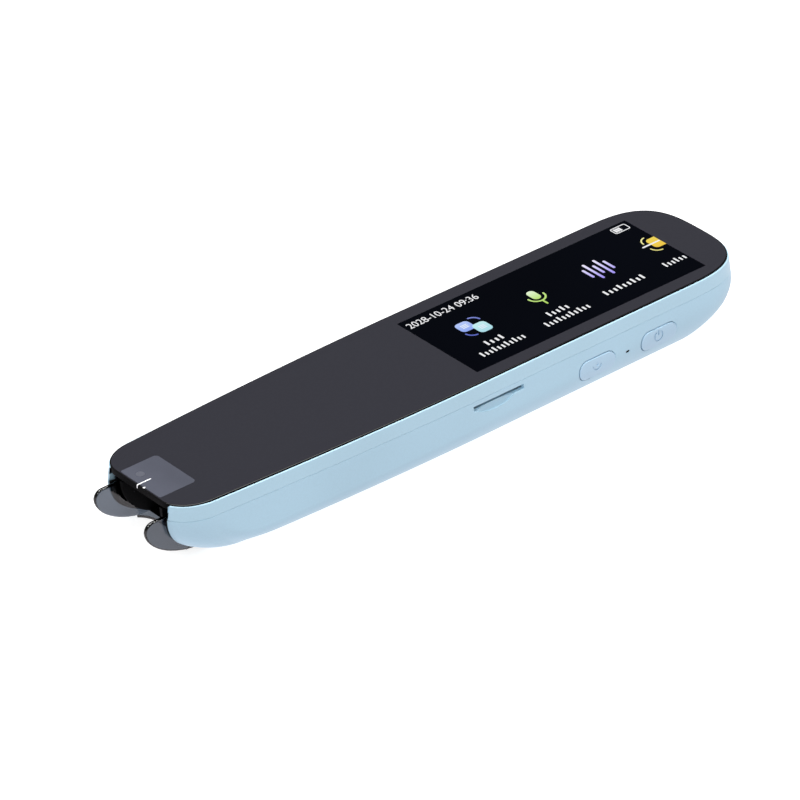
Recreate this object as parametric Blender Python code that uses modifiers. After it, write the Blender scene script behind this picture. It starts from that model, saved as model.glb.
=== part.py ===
"""Scanning pen: a flat hand-held text reader.

A cover glass runs the full length of a two-part housing and has the display under its tail half.
The tip is an open reading mouth between two smoked guard ears, with the camera and its lamps behind.
Two keys, the microphone hole and the sound slot are on one long side, and the charging socket is in
the tail.

Metres, +Z up. +X runs from the tip to the tail and -Y is the side with the keys. The origin is on
the flat underside, at the middle of the housing's length.
"""
import math

import bmesh
import bpy
from mathutils import Vector

# Fits
clearance = 0.0003          # between two pieces that seat on each other
seam = 0.0002               # the visible line between the frame and the shell
overrun = 0.002             # how far a cutter passes the face it cuts
weld_distance = 0.00001

# Housing, outside
body_length = 0.152
body_width = 0.0345
body_thickness = 0.014
taper_drop = 0.00238        # lost from each half width between the display and the tip
taper_power = 1.75
tip_corner_length = 0.0095
tip_flat_half_width = 0.0073
tail_curve_length = 0.0175
tail_power = 3.1            # 2 is an ellipse, more is squarer
tail_floor_power = 1.75     # the tail's plan is rounder on the flat underside
side_round = 0.0037         # radius of the long lower edges
tail_round_length = 0.0145  # the tail end is rounded on a larger curve than the sides
tail_round_height = 0.0098
tail_blend_length = 0.055
tail_blend_share = 0.26
tip_round_length = 0.0135   # the underside sweeps up to the tip on a larger curve still
tip_round_height = 0.0102
tip_corner_trim = 0.0024    # how much shorter the tip corners are on the flat underside
tip_flat_trim = 0.0022
tip_blend_length = 0.019    # the lower edges grow rounder over this much of the sides
tip_blend_share = 0.45

# Housing, walls
wall = 0.0015
seam_depth = 0.0033         # from the top of the glass down to the seam
seam_lean = 0.00006         # the upright wall leans in a little towards the seam and the rim
rim_lean = 0.00034
rim_round = 0.0002
rim_drop = 0.00018
rim_width = 0.0007
lip_thickness = 0.0006
tongue_depth = 0.0012
ledge_reach = 0.0024
ledge_thickness = 0.0009

# Cover glass and display
glass_thickness = 0.0011
glass_edge_round = 0.0004
glass_tip_inset = 0.001
display_length = 0.063
display_tail_margin = 0.0109
display_side_margin = 0.00475
panel_border = 0.001
panel_driver_border = 0.0026  # at the tip end, where the flex leaves
panel_thickness = 0.0014
backlight_thickness = 0.001
backlight_border = 0.0004

# Reading mouth and guard
mouth_half_width = 0.0093
mouth_depth = 0.0134
guard_side_gap = 0.0008
guard_wall = 0.0015
guard_edge_round = 0.0005
guard_reach = 0.0038        # how far the ears stand out in front of the housing
guard_top_depth = 0.0031    # from the top of the glass down to the top of the ears
guard_lobe_round = 0.002
guard_sweep_power = 1.8     # 2 is an ellipse, less is flatter
guard_sweep_length = 0.0139
guard_floor_gap = 0.0004
guard_floor_thickness = 0.0011
guard_travel = 0.0005
guard_bridge_setback = 0.0101
guard_bridge_notch = 0.0022
guard_rail_length = 0.0042

# Optics in the nose
shroud_wall = 0.0008
shroud_setback = 0.0018
shroud_length = 0.0145
window_length = 0.0088
window_setback = 0.002
window_side_overlap = 0.0005
window_thickness = 0.0005
light_bar_width = 0.0012
light_bar_height = 0.0012
lamp_board_thickness = 0.0008
lamp_board_length = 0.004
lamp_size = 0.0018
lamp_height = 0.0008
lamp_spacing = 0.0068
lens_radius = 0.0025
lens_length = 0.0042
lens_rim = 0.0004
holder_size = 0.0078
holder_depth = 0.0022
camera_board_thickness = 0.0008
camera_board_margin = 0.0009
trigger_length = 0.0034
trigger_width = 0.0034
trigger_height = 0.0032
trigger_pin_radius = 0.0008
trigger_pin_length = 0.0016

# Keys on the long side, placed from the tail
key_length = 0.0095
key_height = 0.004
key_mid_z = 0.0058
key_proud = 0.00008
key_edge_round = 0.0002
key_flange_margin = 0.0006
key_flange_thickness = 0.0006
key_flange_back = 0.00215   # from the housing's side to the outer face of the flange
key_nub_radius = 0.0009
key_nub_length = 0.0005
key_travel = 0.00025
power_key_from_tail = 0.028
function_key_from_tail = 0.0452
switch_length = 0.0045
switch_depth = 0.0022
switch_height = 0.0026
switch_pin_radius = 0.0007
switch_pin_length = 0.0011

# Microphone
mic_from_tail = 0.0367
mic_hole_length = 0.001
mic_hole_height = 0.0005
mic_width = 0.0027
mic_depth = 0.0018
mic_height = 0.0023

# Sound slot and speaker
slot_from_tail = 0.0717
slot_length = 0.0134
slot_top_depth = 0.0044
slot_height = 0.0009
scoop_depth = 0.0011
scoop_height = 0.0026
speaker_length = 0.0148
speaker_width = 0.0112
speaker_height = 0.0064
speaker_port_height = 0.0007
speaker_wall = 0.0003
speaker_edge_round = 0.0005
mesh_thickness = 0.0002
mesh_margin = 0.0006

# Battery
nose_bay_length = 0.0239
bay_gap = 0.0008
battery_side_gap = 0.0017
battery_thickness = 0.0058
battery_edge_round = 0.0012
foam_thickness = 0.0004
foam_margin = 0.004
protection_length = 0.0032
protection_thickness = 0.0009
bay_rib_thickness = 0.0009
bay_rib_height = 0.0016
bay_rib_margin = 0.005

# Main board and what is soldered to it
board_thickness = 0.0008
board_floor_gap = 0.002
board_near_gap = 0.00285    # from the wall to the edge that carries the switches
board_far_gap = 0.0022
socket_tab_half_width = 0.0062
board_tail_gap = 0.0048
board_wide_end = 0.0123     # from the housing's tail to the end of the board's wide part
chip_height = 0.001
processor_size = 0.0116
memory_length = 0.0095
memory_width = 0.008
power_chip_size = 0.005
radio_shield_length = 0.0105
radio_shield_width = 0.0092
radio_shield_height = 0.0017
chip_row_gap = 0.0019
plug_length = 0.0038
plug_width = 0.0044
plug_height = 0.0016

# Screws that hold the board
screw_head_radius = 0.0013
screw_head_height = 0.0006
screw_crown_share = 0.7
screw_shank_radius = 0.0006
screw_thread_length = 0.0016
boss_radius = 0.0018
boss_floor_overlap = 0.0005
screw_edge_margin = 0.0022

# Charging socket in the tail
socket_width = 0.00894
socket_height = 0.0032
socket_length = 0.0073
socket_shell = 0.0003
socket_recess = 0.0024
tongue_width = 0.0067
tongue_thickness = 0.0007
tongue_setback = 0.0009

# Antenna and flexible leads
antenna_length = 0.026
antenna_height = 0.0045
antenna_thickness = 0.0002
flex_thickness = 0.0002
display_flex_width = 0.007
display_flex_run = 0.0066   # how far it runs back under the backlight from the board's edge
camera_flex_width = 0.0036
camera_flex_bend_shares = (0.7, 0.5)
wire_radius = 0.0005
wire_spacing = 0.0018

# Steps of the curved outlines
tail_steps = 10
side_steps = 8
corner_steps = 8
flat_steps = 2
outer_round_steps = 7
inner_round_steps = 4
pill_steps = 8
lobe_steps = 5
sweep_steps = 10
notch_steps = 8

# Places worked out from the sizes above
tip_x = -body_length / 2
tail_x = body_length / 2
half_body_width = body_width / 2
glass_top = body_thickness
glass_bottom = glass_top - glass_thickness
seam_z = body_thickness - seam_depth
rim_z = glass_top - rim_drop
ledge_top = glass_bottom - clearance
ledge_bottom = ledge_top - ledge_thickness
tongue_bottom = seam_z - tongue_depth
shelf_z = tongue_bottom - clearance
floor_z = wall
glass_side_inset = rim_width + clearance
display_right = tail_x - display_tail_margin
display_left = display_right - display_length
display_half_width = half_body_width - display_side_margin
tip_corner_x = tip_x + tip_corner_length
taper_length = display_left - tip_corner_x
mouth_rear = tip_x + mouth_depth
panel_bottom = glass_bottom - clearance - panel_thickness
tray_top = panel_bottom - clearance
tray_bottom = tray_top - backlight_thickness
board_bottom = floor_z + board_floor_gap
board_top = board_bottom + board_thickness
part_bottom = board_top + clearance
side_face = -half_body_width
near_wall = side_face + wall
board_near_edge = near_wall + board_near_gap


def linear(level):
    """One sRGB channel from 0 to 1 as linear light."""
    return level / 12.92 if level <= 0.04045 else ((level + 0.055) / 1.055) ** 2.4


def material(name, colour, roughness, metallic=0.0, alpha=1.0):
    """A Principled BSDF from an sRGB hex colour."""
    channels = [linear(int(colour[i:i + 2], 16) / 255) for i in (0, 2, 4)]
    made = bpy.data.materials.new(name)
    made.use_nodes = True
    shader = made.node_tree.nodes["Principled BSDF"]
    shader.inputs["Base Color"].default_value = (*channels, 1.0)
    shader.inputs["Roughness"].default_value = roughness
    shader.inputs["Metallic"].default_value = metallic
    shader.inputs["Alpha"].default_value = alpha
    made.diffuse_color = (*channels, alpha)
    return made


def collection(name):
    """A new collection under the scene's own."""
    made = bpy.data.collections.new(name)
    bpy.context.scene.collection.children.link(made)
    return made


def clear_scene():
    """Remove whatever the scene holds."""
    for thing in list(bpy.data.objects):
        bpy.data.objects.remove(thing)


clear_scene()
parts = collection("scanning_pen")
cutters = collection("cutters")


def place(name, mesh, surface=None, smooth_angle=35):
    """Link a mesh as a part with its own material, shaded smooth below the angle."""
    solid = bpy.data.objects.new(name, mesh)
    parts.objects.link(solid)
    if surface:
        mesh.materials.clear()
        mesh.materials.append(surface)
    mesh.shade_smooth()
    mesh.set_sharp_from_angle(angle=math.radians(smooth_angle))
    return solid


def as_tool(solid):
    """Turn a solid into a cutter: kept, but left out of the part."""
    for owner in list(solid.users_collection):
        owner.objects.unlink(solid)
    cutters.objects.link(solid)
    solid.hide_render = True
    solid.display_type = 'WIRE'
    return solid


def combine(solid, tool, operation):
    """Add an exact Boolean of the tool to the solid."""
    step = solid.modifiers.new(tool.name, 'BOOLEAN')
    step.operation = operation
    step.solver = 'EXACT'
    step.object = as_tool(tool)


def cut(solid, *tools):
    """Take each tool's shape out of the solid."""
    for tool in tools:
        combine(solid, tool, 'DIFFERENCE')


def join(solid, *tools):
    """Add each tool's shape to the solid."""
    for tool in tools:
        combine(solid, tool, 'UNION')


def soften(solid, width, segments=2, angle=40):
    """Round the solid's edges that are sharper than the angle."""
    step = solid.modifiers.new("edges", 'BEVEL')
    step.width = width
    step.segments = segments
    step.limit_method = 'ANGLE'
    step.angle_limit = math.radians(angle)


def box(name, low, high, surface=None):
    """A box between two corners, with its origin at its centre."""
    low, high = Vector(low), Vector(high)
    mesh = bpy.data.meshes.new(name)
    shape = bmesh.new()
    bmesh.ops.create_cube(shape, size=1.0)
    bmesh.ops.scale(shape, vec=high - low, verts=shape.verts)
    shape.to_mesh(mesh)
    shape.free()
    solid = place(name, mesh, surface)
    solid.location = (low + high) / 2
    return solid


def rod(name, radius, start, end, surface=None, sides=20):
    """A cylinder from one point to another, with its origin at its middle."""
    start, end = Vector(start), Vector(end)
    along = end - start
    mesh = bpy.data.meshes.new(name)
    shape = bmesh.new()
    bmesh.ops.create_cone(shape, cap_ends=True, segments=sides, radius1=radius, radius2=radius,
                          depth=along.length)
    shape.to_mesh(mesh)
    shape.free()
    solid = place(name, mesh, surface)
    solid.location = (start + end) / 2
    solid.rotation_euler = along.to_track_quat('Z', 'Y').to_euler()
    return solid


def turned(name, profile, surface, steps=20):
    """A body of revolution round +Z, from (radius, height) points that run down its outside."""
    mesh = bpy.data.meshes.new(name)
    points = [(radius, 0, height) for radius, height in profile]
    mesh.from_pydata(points, [(i, i + 1) for i in range(len(points) - 1)], [])
    solid = place(name, mesh, surface)
    screw = solid.modifiers.new("turn", 'SCREW')
    screw.axis = 'Z'
    screw.steps = steps
    screw.render_steps = steps
    screw.use_merge_vertices = True
    screw.merge_threshold = weld_distance
    screw.use_smooth_shade = True
    return solid


def curve_to_solid(curve_object, surface):
    """Replace a curve object by its mesh, with the caps welded on."""
    name = curve_object.name
    bpy.context.view_layer.update()
    graph = bpy.context.evaluated_depsgraph_get()
    mesh = bpy.data.meshes.new_from_object(curve_object.evaluated_get(graph))
    shape = bmesh.new()
    shape.from_mesh(mesh)
    bmesh.ops.remove_doubles(shape, verts=shape.verts, dist=weld_distance)
    shape.to_mesh(mesh)
    shape.free()
    where = curve_object.matrix_world.copy()
    bpy.data.objects.remove(curve_object)
    solid = place(name, mesh, surface)
    solid.name = name
    solid.matrix_world = where
    return solid


def poly_curve(name, points, closed):
    """A curve object along straight runs between the points."""
    curve = bpy.data.curves.new(name, 'CURVE')
    spline = curve.splines.new('POLY')
    spline.points.add(len(points) - 1)
    for knot, point in zip(spline.points, points):
        knot.co = (*Vector(point).to_3d(), 1.0)
    spline.use_cyclic_u = closed
    holder = bpy.data.objects.new(name, curve)
    parts.objects.link(holder)
    return holder


def plate(name, outline, thickness, middle, surface=None, turn=(0, 0, 0)):
    """A flat outline extruded to its thickness, then turned and moved so that its middle is there."""
    holder = poly_curve(name, outline, True)
    holder.data.dimensions = '2D'
    holder.data.fill_mode = 'BOTH'
    holder.data.extrude = thickness / 2
    holder.rotation_euler = turn
    holder.location = middle
    return curve_to_solid(holder, surface)


def wire(name, points, radius, surface):
    """A round wire along the points, with closed ends."""
    holder = poly_curve(name, points, False)
    holder.data.dimensions = '3D'
    holder.data.bevel_depth = radius
    holder.data.bevel_resolution = 2
    holder.data.use_fill_caps = True
    return curve_to_solid(holder, surface)


def ribbon(name, path, across, width, surface):
    """A flexible strip along the path, as an open sheet with Solidify."""
    across = Vector(across).normalized() * width / 2
    points = []
    for point in path:
        points += [Vector(point) - across, Vector(point) + across]
    faces = [(2 * i, 2 * i + 1, 2 * i + 3, 2 * i + 2) for i in range(len(path) - 1)]
    mesh = bpy.data.meshes.new(name)
    mesh.from_pydata(points, [], faces)
    solid = place(name, mesh, surface)
    skin = solid.modifiers.new("thickness", 'SOLIDIFY')
    skin.thickness = flex_thickness
    skin.offset = 0
    skin.use_even_offset = True
    return solid


def smooth_path(points, steps):
    """Points on a Catmull-Rom curve through the given points."""
    knots = [Vector(p) for p in points]
    knots = [2 * knots[0] - knots[1]] + knots + [2 * knots[-1] - knots[-2]]
    path = []
    for a, b, c, d in zip(knots, knots[1:], knots[2:], knots[3:]):
        for i in range(steps):
            t = i / steps
            path.append(0.5 * (2 * b + (c - a) * t + (2 * a - 5 * b + 4 * c - d) * t ** 2
                               + (3 * b - a - 3 * c + d) * t ** 3))
    path.append(knots[-2])
    return path


def loft(name, rings, surface=None, closed=False, smooth_angle=35):
    """A solid through rings of equal count: capped at both ends, or closed on itself."""
    mesh = bpy.data.meshes.new(name)
    shape = bmesh.new()
    rows = [[shape.verts.new(point) for point in ring] for ring in rings]
    count = len(rows[0])
    pairs = list(zip(rows, rows[1:]))
    if closed:
        pairs.append((rows[-1], rows[0]))
    for first, second in pairs:
        for i in range(count):
            j = (i + 1) % count
            shape.faces.new((first[i], first[j], second[j], second[i]))
    if not closed:
        shape.faces.new(rows[0][::-1])
        shape.faces.new(rows[-1])
    bmesh.ops.recalc_face_normals(shape, faces=shape.faces)
    shape.to_mesh(mesh)
    shape.free()
    return place(name, mesh, surface, smooth_angle)


def half_width(x):
    """Half the housing's width at x: parallel beside the display, then drawn in towards the tip."""
    run = max(0.0, display_left - x)
    return half_body_width - taper_drop * (run / taper_length) ** taper_power


def half_outline(side_inset, tip_inset, tail_inset, corner_trim, flat_trim=0.0, power=tail_power):
    """The plan of the +Y half from the tail to the tip, as (x, y, tip share, tail share)."""
    tail_centre = tail_x - tail_curve_length
    corner_length = tip_corner_length - corner_trim
    corner_x = tip_x + tip_inset + corner_length
    flat = tip_flat_half_width - flat_trim
    reach = half_body_width - side_inset
    points = []
    for i in range(tail_steps):
        angle = math.pi / 2 * i / tail_steps
        along = math.cos(angle) ** (2 / power)
        beside = math.sin(angle) ** (2 / power)
        x = tail_centre + (tail_curve_length - tail_inset) * along
        share = tail_blend_share + (1 - tail_blend_share) * math.cos(angle)
        points.append((x, reach * beside, 0.0, share))
    for i in range(side_steps):
        x = tail_centre + (corner_x - tail_centre) * i / side_steps
        tip = tip_blend_share * max(0.0, 1 - (x - corner_x) / tip_blend_length) ** 2
        tail = tail_blend_share * max(0.0, 1 - (tail_centre - x) / tail_blend_length) ** 2
        points.append((x, half_width(x) - side_inset, tip, tail))
    corner_width = half_width(corner_x) - side_inset - flat
    for i in range(corner_steps + 1):
        angle = math.pi / 2 * i / corner_steps
        x = corner_x - corner_length * math.sin(angle)
        share = tip_blend_share + (1 - tip_blend_share) * math.sin(angle) ** 2
        points.append((x, flat + corner_width * math.cos(angle), share, 0.0))
    for i in range(1, flat_steps + 1):
        points.append((tip_x + tip_inset, flat * (1 - i / flat_steps), 1.0, 0.0))
    return points


def whole_outline(half):
    """Both halves of a plan, anticlockwise from the middle of the tail."""
    return half + [(x, -y, tip, tail) for x, y, tip, tail in half[-2:0:-1]]


def flat_ring(inset, z, tip_inset=None):
    """A level ring of the plan, inset all round."""
    tip = inset if tip_inset is None else tip_inset
    return [(x, y, z) for x, y, _, _ in whole_outline(half_outline(inset, tip, inset, tip))]


def underside_ring(inset, angle, ceiling):
    """A ring of the rounded lower edges: angle 0 on the upright wall, a right angle on the floor."""
    tuck = 1 - math.cos(angle)
    half = half_outline(inset + (side_round - inset) * tuck,
                        inset + (tip_round_length - inset) * tuck,
                        inset + (tail_round_length - inset) * tuck,
                        inset + (tip_corner_trim - inset) * tuck,
                        tip_flat_trim * tuck,
                        tail_power + (tail_floor_power - tail_power) * tuck)
    ring = []
    for x, y, tip, tail in whole_outline(half):
        height = side_round + (tip_round_height - side_round) * tip
        height = min(height + (tail_round_height - side_round) * tail, ceiling)
        ring.append((x, y, inset + (height - inset) * (1 - math.sin(angle))))
    return ring


def pill(length, height):
    """A pill outline, long along the first axis."""
    radius = height / 2
    centre = length / 2 - radius
    points = []
    for side in (1, -1):
        for i in range(pill_steps + 1):
            angle = math.pi * i / pill_steps - math.pi / 2
            points.append((side * (centre + radius * math.cos(angle)), side * radius * math.sin(angle)))
    return points


def side_plate(name, outline, y_low, y_high, x, z, surface=None):
    """An outline in x and z, extruded along y between two faces."""
    middle = (x, (y_low + y_high) / 2, z)
    return plate(name, outline, y_high - y_low, middle, surface, (math.pi / 2, 0, 0))


def mouth_cutter(name):
    """The opening across the tip, from the underside up to the glass."""
    return box(name, (tip_x - overrun, -mouth_half_width, -overrun),
               (mouth_rear, mouth_half_width, glass_top + overrun))


# Housing


def screw_places():
    """Where the board is screwed to its bosses."""
    near = board_near_edge + switch_depth + screw_edge_margin
    far = half_body_width - wall - board_far_gap - screw_edge_margin
    front = board_front() + screw_edge_margin
    back = tail_x - board_wide_end - screw_edge_margin
    return [(front, far), (back, far), (back, near)]


def speaker_front():
    """The speaker's end towards the tip."""
    return tail_x - slot_from_tail - speaker_length / 2


def battery_front():
    """The battery's end towards the tip."""
    return tip_x + nose_bay_length


def battery_back():
    """The battery's end towards the tail, in front of the speaker."""
    return speaker_front() - bay_gap


def battery_half_width():
    """Half the battery's width, from the housing where the battery is nearest to the tip."""
    return half_width(battery_front()) - wall - battery_side_gap


def board_front():
    """The main board's end towards the tip, behind the speaker."""
    return tail_x - slot_from_tail + speaker_length / 2 + bay_gap


def sound_slot_cutters():
    """The slit through the wall and the scooped recess below it."""
    centre = tail_x - slot_from_tail
    top = glass_top - slot_top_depth
    slit = box("slot_slit", (centre - slot_length / 2, side_face - overrun, top - slot_height),
               (centre + slot_length / 2, near_wall + overrun, top))
    mesh = bpy.data.meshes.new("slot_scoop")
    shape = bmesh.new()
    bmesh.ops.create_uvsphere(shape, u_segments=24, v_segments=12, radius=1.0)
    bmesh.ops.scale(shape, vec=(slot_length / 2, scoop_depth, scoop_height), verts=shape.verts)
    middle = bmesh.ops.bisect_plane(shape, geom=shape.verts[:] + shape.edges[:] + shape.faces[:],
                                    plane_co=(0, 0, 0), plane_no=(0, 0, 1), clear_outer=True)
    edges = [part for part in middle["geom_cut"] if isinstance(part, bmesh.types.BMEdge)]
    bmesh.ops.edgeloop_fill(shape, edges=edges)
    bmesh.ops.recalc_face_normals(shape, faces=shape.faces)
    shape.to_mesh(mesh)
    shape.free()
    scoop = place("slot_scoop", mesh)
    scoop.location = (centre, side_face, top)
    return [scoop, slit]


def key_hole(name, x):
    """The pill-shaped hole that a key slides in."""
    return side_plate(name, pill(key_length + 2 * clearance, key_height + 2 * clearance),
                      side_face - overrun, near_wall + overrun, x, key_mid_z)


def lower_shell():
    """The tray: rounded underside, upright wall with a lip for the frame, bosses and bay ribs."""
    quarter = math.pi / 2
    rings = [underside_ring(0.0, quarter * (1 - i / outer_round_steps), seam_z - seam)
             for i in range(outer_round_steps + 1)]
    rings.append(flat_ring(seam_lean, seam_z - seam / 2))
    rings.append(flat_ring(lip_thickness, seam_z - seam / 2))
    rings.append(flat_ring(lip_thickness, shelf_z))
    rings.append(flat_ring(wall, shelf_z))
    rings += [underside_ring(wall, quarter * i / inner_round_steps, shelf_z - seam)
              for i in range(inner_round_steps + 1)]
    shell = loft("lower_shell", rings, material("shell_blue", "b4cfe3", 0.42))

    for number, (x, y) in enumerate(screw_places(), 1):
        join(shell, rod(f"boss_{number}", boss_radius, (x, y, floor_z - boss_floor_overlap),
                        (x, y, board_bottom - clearance)))
        cut(shell, rod(f"boss_bore_{number}", screw_shank_radius + clearance,
                       (x, y, floor_z - boss_floor_overlap), (x, y, board_bottom + overrun), sides=12))
    rib_end = battery_half_width() - bay_rib_margin
    rib_back = battery_front() - clearance
    join(shell, box("bay_rib", (rib_back - bay_rib_thickness, -rib_end, floor_z - boss_floor_overlap),
                    (rib_back, rib_end, floor_z + bay_rib_height)))
    cut(shell, mouth_cutter("shell_mouth"))
    cut(shell, *sound_slot_cutters())
    cut(shell, key_hole("power_key_hole", tail_x - power_key_from_tail))
    cut(shell, key_hole("function_key_hole", tail_x - function_key_from_tail))
    cut(shell, side_plate("mic_hole", pill(mic_hole_length, mic_hole_height), side_face - overrun,
                          near_wall + overrun, tail_x - mic_from_tail, key_mid_z))
    port = pill(socket_width + 2 * clearance, socket_height + 2 * clearance)
    port_depth = tail_round_length / 2 + overrun
    cut(shell, plate("port_hole", port, port_depth, (tail_x + overrun - port_depth / 2, 0, socket_mid_z()),
                     turn=(math.pi / 2, 0, math.pi / 2)))


def upper_frame():
    """The band round the glass: rim, ledge for the glass, and the tongue inside the shell's lip."""
    bottom = seam_z + seam / 2
    tongue_outer = lip_thickness + clearance
    rim_tip = glass_tip_inset - clearance
    rings = [flat_ring(seam_lean, bottom),
             flat_ring(rim_lean, rim_z - rim_round),
             flat_ring(rim_lean + rim_round / 4, rim_z - rim_round / 4),
             flat_ring(rim_lean + rim_round, rim_z),
             flat_ring(rim_width, rim_z, rim_tip),
             flat_ring(rim_width, ledge_top, rim_tip),
             flat_ring(ledge_reach, ledge_top),
             flat_ring(ledge_reach, ledge_bottom),
             flat_ring(wall, ledge_bottom),
             flat_ring(wall, tongue_bottom),
             flat_ring(tongue_outer, tongue_bottom),
             flat_ring(tongue_outer, bottom)]
    frame = loft("upper_frame", rings, material("frame_blue", "b6d1e5", 0.38), closed=True)
    cut(frame, mouth_cutter("frame_mouth"))


def cover_glass():
    """The full-length glass, with its upper edge rounded down to the rim."""
    side, tip = glass_side_inset, glass_tip_inset
    drop = glass_edge_round
    rings = [flat_ring(side, glass_bottom, tip)]
    for angle in (0, math.radians(35), math.radians(65), math.pi / 2):
        step = drop * (1 - math.cos(angle))
        rings.append(flat_ring(side + step, glass_top - drop + drop * math.sin(angle), tip + step))
    loft("cover_glass", rings, material("ink_backed_glass", "1b1c22", 0.08))


def display():
    """The display panel glued under the glass, and its backlight tray below it."""
    half = display_half_width + panel_border
    low = (display_left - panel_driver_border, -half, panel_bottom)
    high = (display_right + panel_border, half, glass_bottom - clearance)
    box("display_panel", low, high, material("display_black", "05060a", 0.15))
    edge = backlight_border
    tray = box("display_backlight", (low[0] - edge, low[1] - edge, tray_bottom),
               (high[0] + edge, high[1] + edge, tray_top), material("backlight_steel", "b9bcc0", 0.35, 1.0))
    soften(tray, backlight_border, 1)


# Nose


def guard_outline():
    """One ear and its rail seen from the side, as (x, z)."""
    front = tip_x - guard_reach
    top = glass_top - guard_top_depth
    rail_bottom = floor_z + clearance
    rail_end = mouth_rear + guard_rail_length
    lobe = guard_lobe_round
    points = [(rail_end, rail_bottom), (rail_end, top)]
    for i in range(lobe_steps + 1):
        angle = math.pi / 2 * i / lobe_steps
        points.append((front + lobe * (1 - math.sin(angle)), top - lobe * (1 - math.cos(angle))))
    sweep_height = top - lobe - guard_floor_gap
    for i in range(1, sweep_steps + 1):
        angle = math.pi / 2 * i / sweep_steps
        along = 1 - math.cos(angle) ** (2 / guard_sweep_power)
        down = math.sin(angle) ** (2 / guard_sweep_power)
        points.append((front + guard_sweep_length * along, top - lobe - sweep_height * down))
    shoulder = guard_back()
    points += [(shoulder, guard_floor_gap), (shoulder, rail_bottom)]
    return points


def guard_back():
    """The guard's end below the shell's floor, clear of the shell by the travel."""
    return mouth_rear - guard_travel - 2 * clearance


def nose_guard():
    """The smoked guard: two ears and their rails, joined by a low bridge with a notch in front."""
    outer = mouth_half_width - guard_side_gap
    inner = outer - guard_wall
    smoked = material("smoked_polycarbonate", "3d444c", 0.12, alpha=0.55)
    guard = side_plate("nose_guard", guard_outline(), inner, outer, 0, 0, smoked)
    soften(guard, guard_edge_round, 3)
    mate = side_plate("guard_near_ear", guard_outline(), -outer, -inner, 0, 0)
    soften(mate, guard_edge_round, 3)
    front = tip_x + guard_bridge_setback - guard_reach
    middle = outer - guard_wall / 2
    notch = []
    for i in range(notch_steps + 1):
        share = 2 * i / notch_steps - 1
        notch.append((front + guard_bridge_notch * (1 - share ** 4), middle * share))
    outline = notch + [(guard_back(), middle), (guard_back(), -middle)]
    bridge = plate("guard_bridge", outline, guard_floor_thickness,
                   (0, 0, guard_floor_gap + guard_floor_thickness / 2))
    join(guard, mate, bridge)


def scan_shroud():
    """The black housing behind the mouth, open to the front and under the sight window."""
    half = mouth_half_width - guard_side_gap - guard_wall - clearance
    bottom = floor_z + clearance
    top = glass_bottom - clearance - window_thickness - clearance
    front = tip_x + shroud_setback
    back = front + shroud_length
    sweep = top - bottom
    points = [(back, bottom), (back, top)]
    for i in range(sweep_steps + 1):
        angle = math.pi / 2 * i / sweep_steps
        points.append((front + sweep * (1 - math.cos(angle)), top - sweep * math.sin(angle)))
    shroud = side_plate("scan_shroud", points, -half, half, 0, 0, material("shroud_black", "101114", 0.5))
    inner = half - shroud_wall
    cut(shroud, box("shroud_hollow", (front - overrun, -inner, bottom + shroud_wall),
                    (back - shroud_wall, inner, top - shroud_wall)))
    cut(shroud, box("shroud_window", (front - overrun, -inner, top - overrun),
                    (tip_x + window_setback + window_length, inner, top + overrun)))
    cut(shroud, rod("shroud_lens_hole", lens_radius + clearance, (back - shroud_wall - overrun, 0, lens_z()),
                    (back + overrun, 0, lens_z())))


def lens_z():
    """The height of the camera's axis."""
    return (floor_z + glass_bottom) / 2


def shroud_back():
    """The rear face of the scan shroud."""
    return tip_x + shroud_setback + shroud_length


def sight_window():
    """The clear plate under the tip of the glass, on the shroud's side walls."""
    half = mouth_half_width - guard_side_gap - guard_wall - clearance - shroud_wall + window_side_overlap
    front = tip_x + window_setback
    top = glass_bottom - clearance
    box("sight_window", (front, -half, top - window_thickness), (front + window_length, half, top),
        material("clear_acrylic", "5b5c66", 0.1, alpha=0.6))


def lamps():
    """The light bar across the shroud, and the lamp board that lights it from above."""
    half = mouth_half_width - guard_side_gap - guard_wall - clearance - shroud_wall - clearance
    top = glass_bottom - 3 * clearance - window_thickness - shroud_wall
    back = shroud_back() - shroud_wall - lens_length / 2
    front = back - lamp_board_length
    box("lamp_board", (front, -half, top - lamp_board_thickness), (back, half, top),
        material("lamp_board_green", "1f5a3a", 0.5))
    board_low = top - lamp_board_thickness - clearance
    white = material("lamp_white", "f2efe2", 0.4)
    for name, side in (("lamp_near", -1), ("lamp_far", 1)):
        y = side * lamp_spacing / 2
        lamp = box(name, (front + clearance, y - lamp_size / 2, board_low - lamp_height),
                   (front + clearance + lamp_size, y + lamp_size / 2, board_low), white)
        soften(lamp, clearance, 1)
    bar = box("light_bar", (front - 2 * clearance - light_bar_width, -half, top - light_bar_height),
              (front - 2 * clearance, half, top), material("diffuser_white", "d9dde0", 0.3, alpha=0.8))
    soften(bar, clearance, 2)


def camera():
    """The lens, its holder and the board behind the shroud."""
    z = lens_z()
    start = shroud_back() + clearance
    black = material("lens_black", "0c0d0f", 0.3)
    rim, radius, length = lens_rim, lens_radius, lens_length
    barrel = turned("lens_barrel", [(0, length - rim), (radius - 2 * rim, length - rim),
                                    (radius - rim, length), (radius, length - rim), (radius, 0), (0, 0)],
                    black, 24)
    barrel.rotation_euler = (0, -math.pi / 2, 0)
    barrel.location = (start, 0, z)
    holder_x = start + clearance
    holder = box("lens_holder", (holder_x, -holder_size / 2, z - holder_size / 2),
                 (holder_x + holder_depth, holder_size / 2, z + holder_size / 2),
                 material("holder_black", "15161a", 0.45))
    soften(holder, clearance, 1)
    board_x = holder_x + holder_depth + clearance
    margin = holder_size / 2 + camera_board_margin
    box("camera_board", (board_x, -margin, floor_z + clearance),
        (board_x + camera_board_thickness, margin, z + margin),
        material("camera_board_green", "1d5738", 0.5))


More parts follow.
